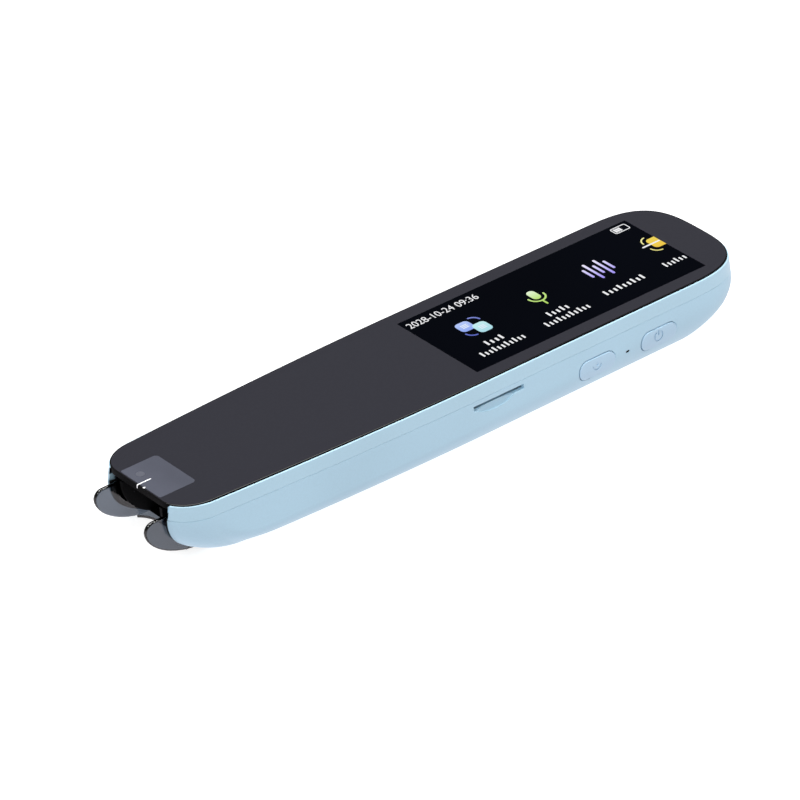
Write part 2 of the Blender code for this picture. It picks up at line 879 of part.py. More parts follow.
def scan_switch():
    """The trigger switch that the guard's near rail presses."""
    y = -(mouth_half_width - guard_side_gap - guard_wall / 2)
    z = floor_z + clearance + trigger_height / 2
    pin_front = mouth_rear + guard_rail_length + clearance
    body_front = pin_front + trigger_pin_length / 2
    body = box("scan_switch", (body_front, y - trigger_width / 2, floor_z + clearance),
               (body_front + trigger_length, y + trigger_width / 2, floor_z + clearance + trigger_height),
               material("switch_grey", "55585c", 0.5))
    bore_end = pin_front + trigger_pin_length + guard_travel + clearance
    cut(body, rod("scan_switch_bore", trigger_pin_radius + clearance, (body_front - overrun, y, z),
                  (bore_end, y, z), sides=16))
    rod("scan_switch_pin", trigger_pin_radius, (pin_front, y, z), (pin_front + trigger_pin_length, y, z),
        material("pin_white", "e4e4e0", 0.4), 16)


# Keys, microphone and speaker


def key(name, x, surface):
    """A pill-shaped key with a flange behind the wall and a nub towards its switch."""
    face = side_face - key_proud
    flange = side_face + key_flange_back
    flange_back = flange + key_flange_thickness
    cap = side_plate(name, pill(key_length, key_height), face, flange_back, x, key_mid_z, surface)
    soften(cap, key_edge_round, 2, 60)
    margin = 2 * key_flange_margin
    join(cap, side_plate(f"{name}_flange", pill(key_length + margin, key_height + margin), flange,
                         flange_back, x, key_mid_z),
         rod(f"{name}_nub", key_nub_radius, (x, flange, key_mid_z),
             (x, flange_back + key_nub_length, key_mid_z)))


def key_switch(name, x, surface, pin_surface):
    """A side-push switch at the board's edge, and the pin that its key drives."""
    pin_front = side_face + key_flange_back + key_flange_thickness + key_nub_length + clearance
    body_front = pin_front + switch_pin_length / 2
    body = box(name, (x - switch_length / 2, body_front, part_bottom),
               (x + switch_length / 2, body_front + switch_depth, part_bottom + switch_height), surface)
    z = part_bottom + switch_height / 2
    bore_end = pin_front + switch_pin_length + key_travel + clearance
    cut(body, rod(f"{name}_bore", switch_pin_radius + clearance, (x, body_front - overrun, z),
                  (x, bore_end, z), sides=16))
    rod(f"{name}_pin", switch_pin_radius, (x, pin_front, z), (x, pin_front + switch_pin_length, z),
        pin_surface, 16)


def keys():
    """The power key and the function key, each with its switch."""
    blue = material("key_blue", "b7d2e6", 0.4)
    steel = material("switch_steel", "9b9ea2", 0.35, 1.0)
    white = material("switch_pin_white", "e6e6e2", 0.4)
    for name, from_tail in (("power", power_key_from_tail), ("function", function_key_from_tail)):
        x = tail_x - from_tail
        key(f"{name}_key", x, blue.copy())
        key_switch(f"{name}_switch", x, steel.copy(), white.copy())


def microphone():
    """The microphone at the board's edge, with a rubber boot that reaches to the hole."""
    x = tail_x - mic_from_tail
    z = key_mid_z
    boot_front = near_wall + clearance
    boot_back = board_near_edge - clearance
    boot = side_plate("mic_boot", pill(mic_width, mic_width), boot_front, boot_back, x, z,
                      material("boot_rubber", "1c1c1e", 0.8))
    cut(boot, rod("mic_boot_bore", mic_hole_length / 2, (x, boot_front - overrun, z),
                  (x, boot_back + overrun, z), sides=16))
    mic_front = boot_back + clearance
    box("microphone", (x - mic_width / 2, mic_front, part_bottom),
        (x + mic_width / 2, mic_front + mic_depth, part_bottom + mic_height),
        material("microphone_steel", "c2b684", 0.35, 1.0))


def speaker():
    """The side-firing speaker behind the sound slot, with the dust mesh between them."""
    centre = tail_x - slot_from_tail
    slot_mid = glass_top - slot_top_depth - slot_height / 2
    mesh_half = slot_length / 2 + mesh_margin
    mesh_front = near_wall + clearance
    box("sound_mesh", (centre - mesh_half, mesh_front, slot_mid - slot_height / 2 - mesh_margin),
        (centre + mesh_half, mesh_front + mesh_thickness, slot_mid + slot_height / 2 + mesh_margin),
        material("mesh_grey", "3a3c40", 0.6))
    front = mesh_front + mesh_thickness + clearance
    top = tray_bottom - 2 * clearance - flex_thickness
    port_top = top - speaker_wall
    case = box("speaker", (centre - speaker_length / 2, front, top - speaker_height),
               (centre + speaker_length / 2, front + speaker_width, top),
               material("speaker_black", "17181b", 0.45))
    soften(case, speaker_edge_round, 2)
    half = slot_length / 2
    cut(case, box("speaker_port", (centre - half, front - overrun, port_top - speaker_port_height),
                  (centre + half, front + speaker_width / 2, port_top)))


# Power


def battery():
    """The pouch cell on its foam pad, with the protection board folded at its rear end."""
    half = battery_half_width()
    foam_low = floor_z + clearance
    box("battery_foam", (battery_front() + foam_margin, -half + foam_margin, foam_low),
        (battery_back() - foam_margin, half - foam_margin, foam_low + foam_thickness),
        material("foam_black", "232326", 0.9))
    low = foam_low + foam_thickness + clearance
    cell_back = battery_back() - protection_thickness - clearance
    cell = box("battery_cell", (battery_front(), -half, low), (cell_back, half, low + battery_thickness),
               material("battery_silver", "b7bac0", 0.35, 0.6))
    soften(cell, battery_edge_round, 2)
    strip_half = half - foam_margin
    box("protection_board", (cell_back + clearance, -strip_half, low),
        (cell_back + clearance + protection_thickness, strip_half, low + protection_length),
        material("protection_board_yellow", "b08a2a", 0.5))


def plug_near_edge():
    """The battery plug's edge towards the centre line, beside the first screw."""
    return screw_places()[0][1] - boss_radius - clearance - plug_width


def battery_leads():
    """Two wires from the protection board over the speaker bay to the plug on the main board."""
    start_x = battery_back() + clearance
    plug_x = board_front() + plug_length / 2 + clearance
    lead_y = plug_near_edge() + plug_width / 2
    start_z = floor_z + 2 * clearance + foam_thickness + protection_length - wire_radius
    end_z = part_bottom + plug_height / 2
    box("battery_plug", (plug_x, lead_y - plug_width / 2, part_bottom),
        (plug_x + plug_length, lead_y + plug_width / 2, part_bottom + plug_height),
        material("plug_cream", "e2dcc6", 0.5))
    span = plug_x - clearance - start_x
    for name, side, colour in (("red", 1, "b3261e"), ("black", -1, "1a1a1c")):
        y = lead_y + side * wire_spacing / 2
        rise = wire_radius * 2
        route = [(start_x, y, start_z), (start_x + span / 4, y, start_z + rise),
                 (start_x + span * 3 / 4, y, end_z + rise / 2), (start_x + span, y, end_z)]
        wire(f"battery_lead_{name}", smooth_path(route, 3), wire_radius,
             material(f"lead_{name}", colour, 0.5))


# Main board


def main_board():
    """The board with its socket tab, screwed on three bosses."""
    front = board_front()
    wide_end = tail_x - board_wide_end
    tab_end = tail_x - wall - board_tail_gap
    far = half_body_width - wall - board_far_gap
    near = board_near_edge
    tab = socket_tab_half_width
    outline = [(front, near), (wide_end, near), (wide_end, -tab), (tab_end, -tab), (tab_end, tab),
               (wide_end, tab), (wide_end, far), (front, far)]
    board = plate("main_board", outline, board_thickness, (0, 0, (board_bottom + board_top) / 2),
                  material("board_green", "165036", 0.45))
    for number, (x, y) in enumerate(screw_places(), 1):
        cut(board, rod(f"board_hole_{number}", screw_shank_radius + clearance,
                       (x, y, board_bottom - overrun), (x, y, board_top + overrun), sides=12))


def chips():
    """The processor, memory, power chip and shielded radio, in a row along the board."""
    x = board_front() + plug_length + 3 * chip_row_gap
    y = screw_places()[-1][1] + boss_radius + clearance
    z = part_bottom
    black = material("chip_black", "1a1b1e", 0.4)
    box("processor", (x, y, z), (x + processor_size, y + processor_size, z + chip_height), black)
    x += processor_size + chip_row_gap
    box("memory_chip", (x, y, z), (x + memory_width, y + memory_length, z + chip_height), black.copy())
    x += memory_width + chip_row_gap
    box("power_chip", (x, y, z), (x + power_chip_size, y + power_chip_size, z + chip_height),
        black.copy())
    x += power_chip_size + chip_row_gap
    shield = box("radio_shield", (x, y, z),
                 (x + radio_shield_width, y + radio_shield_length, z + radio_shield_height),
                 material("shield_steel", "c3c6ca", 0.3, 1.0))
    soften(shield, clearance, 1)


def board_screws():
    """Three pan-head screws, turned from one profile."""
    steel = material("screw_steel", "a9abae", 0.3, 1.0)
    shank = board_thickness + screw_thread_length / 2 + clearance
    head, height, radius = screw_head_radius, screw_head_height, screw_shank_radius
    profile = [(0, height), (head * screw_crown_share, height), (head, height / 2), (head, 0), (radius, 0),
               (radius, -shank), (0, -shank)]
    for number, (x, y) in enumerate(screw_places(), 1):
        screw = turned(f"board_screw_{number}", profile, steel.copy(), 16)
        screw.location = (x, y, part_bottom)


def socket_mid_z():
    """The height of the charging socket's centre."""
    return part_bottom + socket_height / 2


def charging_socket():
    """The charging socket: a pill-shaped shell open to the tail, and the contact tongue inside."""
    mouth = tail_x - socket_recess
    back = mouth - socket_length
    z = socket_mid_z()
    turn = (math.pi / 2, 0, math.pi / 2)
    shell = plate("socket_shell", pill(socket_width, socket_height), socket_length,
                  ((mouth + back) / 2, 0, z), material("socket_steel", "c9cbce", 0.25, 1.0), turn)
    bore = pill(socket_width - 2 * socket_shell, socket_height - 2 * socket_shell)
    bore_back = back + 2 * socket_shell
    cut(shell, plate("socket_bore", bore, mouth + overrun - bore_back,
                     ((mouth + overrun + bore_back) / 2, 0, z), turn=turn))
    box("socket_tongue", (bore_back + clearance, -tongue_width / 2, z - tongue_thickness / 2),
        (mouth - tongue_setback, tongue_width / 2, z + tongue_thickness / 2),
        material("tongue_black", "202124", 0.4))


def antenna():
    """The antenna strip, stuck inside the far wall beside the display."""
    x = (display_left + display_right) / 2
    y = half_body_width - wall - clearance
    low = side_round
    box("antenna", (x - antenna_length / 2, y - antenna_thickness, low),
        (x + antenna_length / 2, y, low + antenna_height), material("antenna_copper", "8a6a3a", 0.4, 0.8))


def flexes():
    """The display's flex, folded down to the board, and the camera's flex along the far wall."""
    amber = material("flex_amber", "9a5b1c", 0.45)
    y = plug_near_edge() - bay_gap - display_flex_width / 2
    start_x = board_front() - display_flex_run
    end_x = board_front() + display_flex_width / 2
    drop = tray_bottom - clearance - flex_thickness / 2
    landing = part_bottom + flex_thickness / 2
    bend = (drop - landing) / 2
    route = [(start_x, y, drop), (end_x + bend, y, drop - clearance),
             (end_x + 2 * bend, y, drop - bend), (end_x + bend, y, landing + clearance),
             (end_x, y, landing)]
    ribbon("display_flex", smooth_path(route, 4), (0, 1, 0), display_flex_width, amber)
    lane = battery_half_width() + battery_side_gap / 2
    start = shroud_back() + 4 * clearance + holder_depth + camera_board_thickness
    height = lens_z()
    end_x = board_front() - clearance
    edge = holder_size / 2 + camera_board_margin - camera_flex_width / 2
    run = battery_front() - start
    before, after = camera_flex_bend_shares
    route = [(start, edge, height), (start + run * before, edge, height),
             (battery_front() + run * after, lane, height), (end_x, lane, height)]
    ribbon("camera_flex", smooth_path(route, 4), (0, 0, 1), camera_flex_width, amber.copy())


def build():
    """Model every piece of the pen."""
    lower_shell()
    upper_frame()
    cover_glass()
    display()
    nose_guard()
    scan_shroud()
    sight_window()
    lamps()
    camera()
    scan_switch()
    keys()
    microphone()
    speaker()
    battery()
    battery_leads()
    main_board()
    chips()
    board_screws()
    charging_socket()
    antenna()
    flexes()


build()
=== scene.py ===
import math

import bmesh
import bpy
from mathutils import Matrix, Vector


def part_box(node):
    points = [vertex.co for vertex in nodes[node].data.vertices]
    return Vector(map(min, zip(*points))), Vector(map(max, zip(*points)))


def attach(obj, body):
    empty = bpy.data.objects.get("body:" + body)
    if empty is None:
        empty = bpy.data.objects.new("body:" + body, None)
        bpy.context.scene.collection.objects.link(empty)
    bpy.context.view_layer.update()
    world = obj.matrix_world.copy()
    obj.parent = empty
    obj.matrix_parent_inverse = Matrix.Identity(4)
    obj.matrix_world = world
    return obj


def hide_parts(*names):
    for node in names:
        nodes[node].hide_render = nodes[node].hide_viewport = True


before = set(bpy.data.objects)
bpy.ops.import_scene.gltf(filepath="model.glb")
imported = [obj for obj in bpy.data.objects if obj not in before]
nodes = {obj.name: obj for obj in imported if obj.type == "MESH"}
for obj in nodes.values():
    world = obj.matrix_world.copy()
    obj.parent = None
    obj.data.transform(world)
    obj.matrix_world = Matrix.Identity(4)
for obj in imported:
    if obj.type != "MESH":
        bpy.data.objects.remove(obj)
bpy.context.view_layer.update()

mm = 0.001
quarter = math.pi / 2

# Fits
clearance = 0.3 * mm
seam = 0.2 * mm
overrun = 2 * mm
touch = 0.01 * mm           # places this close are one
weld = 0.002 * mm           # and so are a mesh's corners

# Housing, as in the CAD
body_length = 152 * mm
body_width = 34.5 * mm
body_thickness = 14 * mm
taper_drop = 2.38 * mm
taper_power = 1.75
tip_corner_length = 9.5 * mm
tip_flat_half_width = 7.3 * mm
side_round = 3.93 * mm
tail_round_length = 14.5 * mm
wall = 1.5 * mm
seam_depth = 3.3 * mm
lip_thickness = 0.6 * mm
tongue_depth = 1.2 * mm
ledge_reach = 2.4 * mm
ledge_thickness = 0.9 * mm
glass_thickness = 1.1 * mm
display_margin = 10.9 * mm
display_length = 63 * mm
display_side_margin = 4.75 * mm

# Housing, as the photograph shows its ends and edges
tail_curve_length = 19.2 * mm
tail_power = 3.12
tail_floor_power = 1.3
tail_round_height = 9.8 * mm
tail_blend_length = 110 * mm
tail_blend_share = 0.8
tip_round_length = 16 * mm
tip_round_height = 10.9 * mm
tip_corner_trim = 4.8 * mm
tip_flat_trim = 0.1 * mm
tip_blend_length = 10.8 * mm
tip_blend_share = 0.9
draft = 0.1                 # how far the walls lean in, for each unit of height
draft_from = 5 * mm
edge_break = 0.12 * mm      # the fine rounding that a mould leaves on every opening
seam_shown = 0.01 * mm      # the parting line as it shows once the two halves are snapped shut
seam_round = 0.17 * mm
rim_lean = 0.02 * mm
rim_round = 0.21 * mm
rim_rise = -0.12 * mm
rim_width = 1.18 * mm
glass_inset = 1.24 * mm
glass_tip_inset = 1.25 * mm
glass_proud = 0.2 * mm      # how far the glass stands above the nominal thickness
bevel_width = 0.36 * mm
bevel_height = 0.15 * mm
face_tilt = 0.996           # a face that tilts more than this belongs to the glass's bevel
bevel_tilt = 0.88           # and more than this, to its upright side

# Mouth and guard
mouth_half_width = 9.3 * mm
mouth_depth = 13.4 * mm
mouth_edge_round = 0.3 * mm
cheek_depth = 2.6 * mm
cheek_setback = 0.3 * mm    # behind the rounded edges of the mouth
cheek_gap = 0.04 * mm
liner_setback = 0.12 * mm
liner_thickness = 0.42 * mm
liner_overlap = 0.02 * mm
guard_side_gap = 0.8 * mm
guard_wall = 1.5 * mm
guard_shown_wall = 0.95 * mm
guard_shown_round = 0.4 * mm
guard_reach = 3.7 * mm
guard_top_depth = 3.1 * mm
guard_lobe_round = 2 * mm
guard_sweep_power = 1.8
guard_sweep_length = 13.9 * mm
guard_floor_gap = 0.6 * mm
guard_floor_thickness = 0.6 * mm
guard_travel = 0.5 * mm
guard_bridge_setback = 10.1 * mm
guard_bridge_notch = 2.2 * mm
guard_rail_length = 4.2 * mm

# Keys, microphone and sound slot
power_key_setback = 28 * mm
function_key_setback = 45.2 * mm
mic_setback = 36.7 * mm
slot_setback = 71.7 * mm
key_length = 9.5 * mm
key_height = 4 * mm
key_mid_z = 5.8 * mm
key_proud = 0.17 * mm
key_gap = 0.12 * mm         # round each key as it shows
key_sag = 0.03 * mm         # a key rests on the lower side of its hole
key_drift = 0.03 * mm       # and a little towards the tail
key_edge_round = 0.14 * mm
key_core = 0.05 * mm        # half the height of the innermost ring of a key's face
key_flange_back = 2.15 * mm
key_flange_margin = 0.6 * mm
key_flange_thickness = 0.6 * mm
key_nub_radius = 0.9 * mm
key_nub_length = 0.5 * mm
mark_z = 6.15 * mm
mark_shift = -0.2 * mm      # towards the tip
mark_radius = 1.1 * mm
mark_width = 0.3 * mm
mark_depth = 0.14 * mm
mic_hole_length = 1 * mm
mic_hole_height = 0.5 * mm
mic_port_depth = 0.3 * mm
slot_length = 13.4 * mm
slot_top_depth = 4.4 * mm
slit_height = 0.6 * mm
slit_drop = 0.3 * mm        # below the top of its hollow
slit_inset = 0.2 * mm
recess_height = 1.05 * mm   # the long hollow that the slit lies in
recess_depth = 0.5 * mm
scoop_shift = 1.1 * mm      # the scoop sits towards the tip end of the slit
scoop_length = 11.2 * mm
scoop_height = 2.45 * mm
scoop_depth = 0.62 * mm
scoop_reach = 2.6 * mm      # below the slot's top, where its edges may lie

# Print and light on the glass
print_shift = -0.2 * mm     # towards the near side
print_rise = 0.02 * mm      # half the thickness of what is printed or lit
layer_step = 0.03 * mm      # each layer lies this far above the one below
line_start = -71.4 * mm
line_y = 0.4 * mm
line_half_width = 0.15 * mm
line_rise = 0.03 * mm
line_drop = 0.75 * mm       # down the glass's side

# Places
tip_x = -body_length / 2
tail_x = body_length / 2
half_body_width = body_width / 2
side_face = -half_body_width
near_wall = side_face + wall
glass_top = body_thickness
glass_bottom = glass_top - glass_thickness
seam_z = body_thickness - seam_depth
rim_z = glass_top + rim_rise
face_z = glass_top + glass_proud
ledge_top = glass_bottom - clearance
ledge_bottom = ledge_top - ledge_thickness
tongue_bottom = seam_z - tongue_depth
shelf_z = tongue_bottom - clearance
display_left = tail_x - display_margin - display_length
display_right = tail_x - display_margin
display_half_width = half_body_width - display_side_margin
taper_length = display_left - (tip_x + tip_corner_length)
mouth_rear = tip_x + mouth_depth
guard_rear = mouth_rear - guard_travel - 2 * clearance      # clear of the shell by the travel
power_key_x = tail_x - power_key_setback
function_key_x = tail_x - function_key_setback
mic_x = tail_x - mic_setback
slot_x = tail_x - slot_setback
slot_top = glass_top - slot_top_depth

# Holes in the near wall, as (name, x, length, height)
key_hole = (key_length + 2 * clearance, key_height + 2 * clearance)
side_holes = (("power_key_hole", power_key_x, *key_hole), ("function_key_hole", function_key_x, *key_hole),
              ("mic_hole", mic_x, mic_hole_length, mic_hole_height))

# Steps of the curved outlines
tail_steps = 30
side_steps = 44
corner_steps = 20
flat_steps = 6
round_steps = 16
pill_steps = 20
lobe_steps = 12
sweep_steps = 32
bevel_steps = 12
edge_segments = 3
ear_segments = 5
sharp_turn = 40             # degrees: an opening's edge that turns more is rounded
ear_sharp_turn = 50
smooth_turn = 35            # and a piece's edge that turns less is shaded smooth
glass_smooth_turn = 60


# Materials

noise_levels = (0.3, 0.7)   # a noise hardly leaves these


def linear(colour):
    """An sRGB hex colour as linear red, green, blue and alpha."""
    levels = [int(colour[i:i + 2], 16) / 255 for i in (0, 2, 4)]
    return (*[c / 12.92 if c <= 0.04045 else ((c + 0.055) / 1.055) ** 2.4 for c in levels], 1.0)


def put(tree, node, inputs):
    """Set a node's inputs, or link them to a socket or to another node's first output."""
    for socket, value in inputs.items():
        if isinstance(value, bpy.types.Node):
            value = next(output for output in value.outputs if output.enabled)
        if isinstance(value, bpy.types.NodeSocket):
            tree.links.new(value, node.inputs[socket])
        else:
            node.inputs[socket].default_value = value


def add(tree, kind, inputs, **settings):
    """Add a shader node of this kind with its settings and inputs."""
    node = tree.nodes.new("ShaderNode" + kind)
    for name, value in settings.items():
        setattr(node, name, value)
    put(tree, node, inputs)
    return node


def onto(low, high, start=0.0, end=1.0):
    """The inputs that map a level from start to end onto the values from low to high."""
    return {"From Min": start, "From Max": end, "To Min": low, "To Max": high}


def start_material(name):
    """A material with the tree to build in, its own Principled shader, and places on the piece."""
    made = bpy.data.materials.new(name)
    made.use_nodes = True
    tree = made.node_tree
    return made, tree, tree.nodes["Principled BSDF"], add(tree, "TexCoord", {}).outputs["Object"]


def patterned(name, colour, size, detail=1.0, tone=None, gloss=None, bump=None, rest=None,
              pattern="TexNoise"):
    """A surface whose tone, gloss and relief, as far as given, follow one pattern of a real size."""
    made, tree, shader, place = start_material(name)
    grain = add(tree, pattern, {"Vector": place, "Scale": 1 / size, "Detail": detail})
    finish = {"Base Color": linear(colour), **(rest or {})}
    if tone:
        level = add(tree, "MapRange", {"Value": grain, **onto(*tone)})
        finish["Base Color"] = add(tree, "VectorMath", {0: linear(colour)[:3], "Scale": level},
                                   operation='SCALE')
    if gloss:
        finish["Roughness"] = add(tree, "MapRange", {"Value": grain, **onto(*gloss)})
    if bump:
        finish["Normal"] = add(tree, "Bump", {"Height": grain, "Strength": bump[0], "Distance": bump[1]})
    put(tree, shader, finish)
    return made


def moulded(name, colour, roughness, ior, variation=0.06, grain=0.3 * mm, gloss_level=0.5):
    """Injection-moulded plastic: a fine eroded grain, and a slow drift of tone across the piece."""
    made, tree, shader, place = start_material(name)
    fine = add(tree, "TexNoise", {"Vector": place, "Scale": 1 / grain, "Detail": 2.0, "Roughness": 0.6})
    slow = add(tree, "TexNoise", {"Vector": place, "Scale": 1 / (25 * mm), "Detail": 1.0})
    tone = add(tree, "MapRange",
               {"Value": slow, **onto(1 - variation / 2, 1 + variation / 2, *noise_levels)})
    speck = add(tree, "MapRange",
                {"Value": fine, **onto(1 - variation / 3, 1 + variation / 3, *noise_levels)})
    level = add(tree, "Math", {0: tone, 1: speck}, operation='MULTIPLY')
    shade = add(tree, "VectorMath", {0: linear(colour)[:3], "Scale": level}, operation='SCALE')
    gloss = add(tree, "MapRange", {"Value": fine, **onto(roughness * 0.9, roughness * 1.1, *noise_levels)})
    bump = add(tree, "Bump", {"Height": fine, "Strength": 0.35, "Distance": 0.01 * mm})
    put(tree, shader, {"Base Color": shade, "Roughness": gloss, "Normal": bump, "IOR": ior,
                       "Specular IOR Level": gloss_level})
    return made


def metal(name, colour, roughness, brush, streak):
    """Bare metal with fine brushing along the given axis: gloss and tone change across the streaks."""
    made, tree, shader, place = start_material(name)
    stretch = [1 / (streak * 20) if axis == brush else 1 / streak for axis in "xyz"]
    along = add(tree, "Mapping", {"Vector": place, "Scale": stretch})
    lines = add(tree, "TexNoise", {"Vector": along, "Scale": 1.0, "Detail": 3.0})
    gloss = add(tree, "MapRange", {"Value": lines, **onto(roughness * 0.7, roughness * 1.3, *noise_levels)})
    light = add(tree, "MapRange", {"Value": lines, **onto(0.9, 1.08, *noise_levels)})
    shade = add(tree, "VectorMath", {0: linear(colour)[:3], "Scale": light}, operation='SCALE')
    bump = add(tree, "Bump", {"Height": lines, "Strength": 0.2, "Distance": 0.01 * mm})
    put(tree, shader, {"Base Color": shade, "Roughness": gloss, "Normal": bump, "Metallic": 1.0})
    return made


def smoked_polycarbonate():
    """Clear polycarbonate tinted grey, moulded and polished: light passes, and the edges go dark."""
    made = patterned("smoked_polycarbonate", "ffffff", 4 * mm, gloss=(0.03, 0.09),
                     rest={"Transmission Weight": 1.0, "IOR": 1.58})
    tree = made.node_tree
    tint = add(tree, "VolumeAbsorption", {"Color": linear("6c7e92"), "Density": 2900.0})
    put(tree, tree.nodes["Material Output"], {"Volume": tint})
    return made


def lit_pixels(name, top, bottom, y_low, y_high):
    """Lit display pixels that fade between two colours, with the faint grid of the pixel rows."""
    made, tree, shader, place = start_material(name)
    y = add(tree, "SeparateXYZ", {"Vector": place}).outputs["Y"]
    fade = add(tree, "MapRange", {"Value": y, **onto(0.0, 1.0, y_low * mm, y_high * mm)})
    blend = add(tree, "Mix", {"Factor": fade, "A": linear(bottom), "B": linear(top)}, data_type='RGBA')
    # The real pixels are 0.09 mm apart: drawn at 0.3 mm, so that they show
    pitch = 0.3 * mm
    rows = add(tree, "TexWave", {"Vector": place, "Scale": 1 / (pitch * math.tau), "Distortion": 0.0},
               bands_direction='X')
    dim = add(tree, "MapRange", {"Value": rows.outputs["Fac"], **onto(0.95, 1.0)})
    glow = add(tree, "VectorMath", {0: blend, "Scale": dim}, operation='SCALE')
    put(tree, shader, {"Emission Color": glow, "Emission Strength": 1.0, "Base Color": linear("000000"),
                       "Specular IOR Level": 0.1, "Roughness": 0.1})
    return made


def smoky_sight_window():
    """Lightly tinted clear glass over the dark mouth: painted light pales it towards the opening, where light
    comes in.
    """
    made, tree, shader, place = start_material("smoky_sight_window")
    haze = add(tree, "TexNoise", {"Vector": place, "Scale": 1 / (5 * mm), "Detail": 1.0})
    cloud = add(tree, "MapRange", {"Value": haze, **onto(0.9, 1.1)})
    x = add(tree, "SeparateXYZ", {"Vector": place}).outputs["X"]
    # Painted light: the tone rises towards the opening at the tip and falls towards the back
    depth = add(tree, "MapRange", {"Value": x, **onto(1.08, 0.94, -74.2 * mm, -65 * mm)})
    tone = add(tree, "Math", {0: cloud, 1: depth}, operation='MULTIPLY')
    shade = add(tree, "VectorMath", {0: linear("4a4c56")[:3], "Scale": tone}, operation='SCALE')
    put(tree, shader, {"Base Color": shade, "Roughness": 0.12, "Specular IOR Level": 0.15})
    return made


def solder_mask(name, colour, track):
    """Solder mask over etched copper: a glossy coat, with the tracks a little raised and paler."""
    made, tree, shader, place = start_material(name)
    cells = add(tree, "TexVoronoi", {"Vector": place, "Scale": 1 / (1.4 * mm), "Randomness": 0.6},
                feature='DISTANCE_TO_EDGE')
    tracks = add(tree, "MapRange", {"Value": cells, **onto(1.0, 0.0, 0.08, 0.12)})
    blend = add(tree, "Mix", {"Factor": tracks, "A": linear(colour), "B": linear(track)}, data_type='RGBA')
    bump = add(tree, "Bump", {"Height": tracks, "Strength": 0.5, "Distance": 0.03 * mm})
    put(tree, shader, {"Base Color": blend, "Normal": bump, "Roughness": 0.3, "Coat Weight": 0.5})
    return made


def wave_along(tree, place, axis, pitch):
    """A sine wave along one axis, for wires and lines at an even pitch."""
    along = add(tree, "SeparateXYZ", {"Vector": place}).outputs[axis]
    turns = add(tree, "Math", {0: along, 1: math.tau / pitch}, operation='MULTIPLY')
    return add(tree, "Math", {0: turns}, operation='SINE')


def woven_mesh(name, colour):
    """Fine woven steel cloth: the 0.1 mm wires are drawn at 0.25 mm, so that they show."""
    made, tree, shader, place = start_material(name)
    wires = {i: wave_along(tree, place, axis, 0.25 * mm) for i, axis in enumerate("XZ")}
    weave = add(tree, "Math", wires, operation='MAXIMUM')
    tone = add(tree, "MapRange", {"Value": weave, **onto(0.1, 1.0, -0.5, 1.0)})
    shade = add(tree, "VectorMath", {0: linear(colour)[:3], "Scale": tone}, operation='SCALE')
    bump = add(tree, "Bump", {"Height": weave, "Strength": 0.6, "Distance": 0.05 * mm})
    put(tree, shader, {"Base Color": shade, "Normal": bump, "Metallic": 1.0, "Roughness": 0.45})
    return made


def polyimide(name, axis):
    """Amber polyimide film over copper lines that run along the strip."""
    made, tree, shader, place = start_material(name)
    lines = add(tree, "MapRange",
                {"Value": wave_along(tree, place, axis, 0.5 * mm), **onto(0.0, 1.0, -0.1, 0.1)})
    blend = add(tree, "Mix", {"Factor": lines, "A": linear("a8641f"), "B": linear("7f4b18")},
                data_type='RGBA')
    put(tree, shader, {"Base Color": blend, "Roughness": 0.3, "IOR": 1.7})
    return made


def clear_acrylic(name, tint):
    """Cast acrylic, hard-coated: clear, with a faint waviness in its gloss."""
    return patterned(name, tint, 6 * mm, gloss=(0.02, 0.08),
                     rest={"Transmission Weight": 1.0, "IOR": 1.49})


# Shapes


def link(name, data):
    """An object in the scene with this data."""
    made = bpy.data.objects.new(name, data)
    bpy.context.scene.collection.objects.link(made)
    return made


def piece(name, mesh, surface, body, smooth=smooth_turn):
    """Link a mesh as a piece of the pen: its material, smooth shading and body."""
    made = link(name, mesh)
    mesh.materials.clear()
    mesh.materials.append(surface)
    mesh.shade_smooth()
    mesh.set_sharp_from_angle(angle=math.radians(smooth))
    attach(made, body)
    return made


def mesh_of(shape, name):
    """Turn a bmesh into a mesh with its faces outward."""
    bmesh.ops.recalc_face_normals(shape, faces=shape.faces)
    mesh = bpy.data.meshes.new(name)
    shape.to_mesh(mesh)
    shape.free()
    return mesh


def final_mesh(made, tools=()):
    """The mesh of an object once its modifiers have run. The object and its tools go."""
    bpy.context.view_layer.update()
    graph = bpy.context.evaluated_depsgraph_get()
    mesh = bpy.data.meshes.new_from_object(made.evaluated_get(graph))
    for used in (made, *tools):
        bpy.data.objects.remove(used)
    return mesh


def loft(name, rings, closed=False):
    """A mesh through rings of equal count, capped at both ends or closed on itself."""
    shape = bmesh.new()
    rows = [[shape.verts.new(point) for point in ring] for ring in rings]
    pairs = list(zip(rows, rows[1:]))
    if closed:
        pairs.append((rows[-1], rows[0]))
    for first, second in pairs:
        for i in range(len(first)):
            j = (i + 1) % len(first)
            shape.faces.new((first[i], first[j], second[j], second[i]))
    if not closed:
        shape.faces.new(rows[0][::-1])
        shape.faces.new(rows[-1])
    return mesh_of(shape, name)


def slab(name, outline, low, high, axis):
    """An outline extruded between two levels along an axis: its points are on the other two axes."""
    at = "xyz".index(axis)
    return loft(name, [[(*point[:at], level, *point[at:]) for point in outline] for level in (low, high)])


def block(name, low, high):
    """A box between two corners."""
    outline = [(low[0], low[1]), (high[0], low[1]), (high[0], high[1]), (low[0], high[1])]
    return slab(name, outline, low[2], high[2], "z")


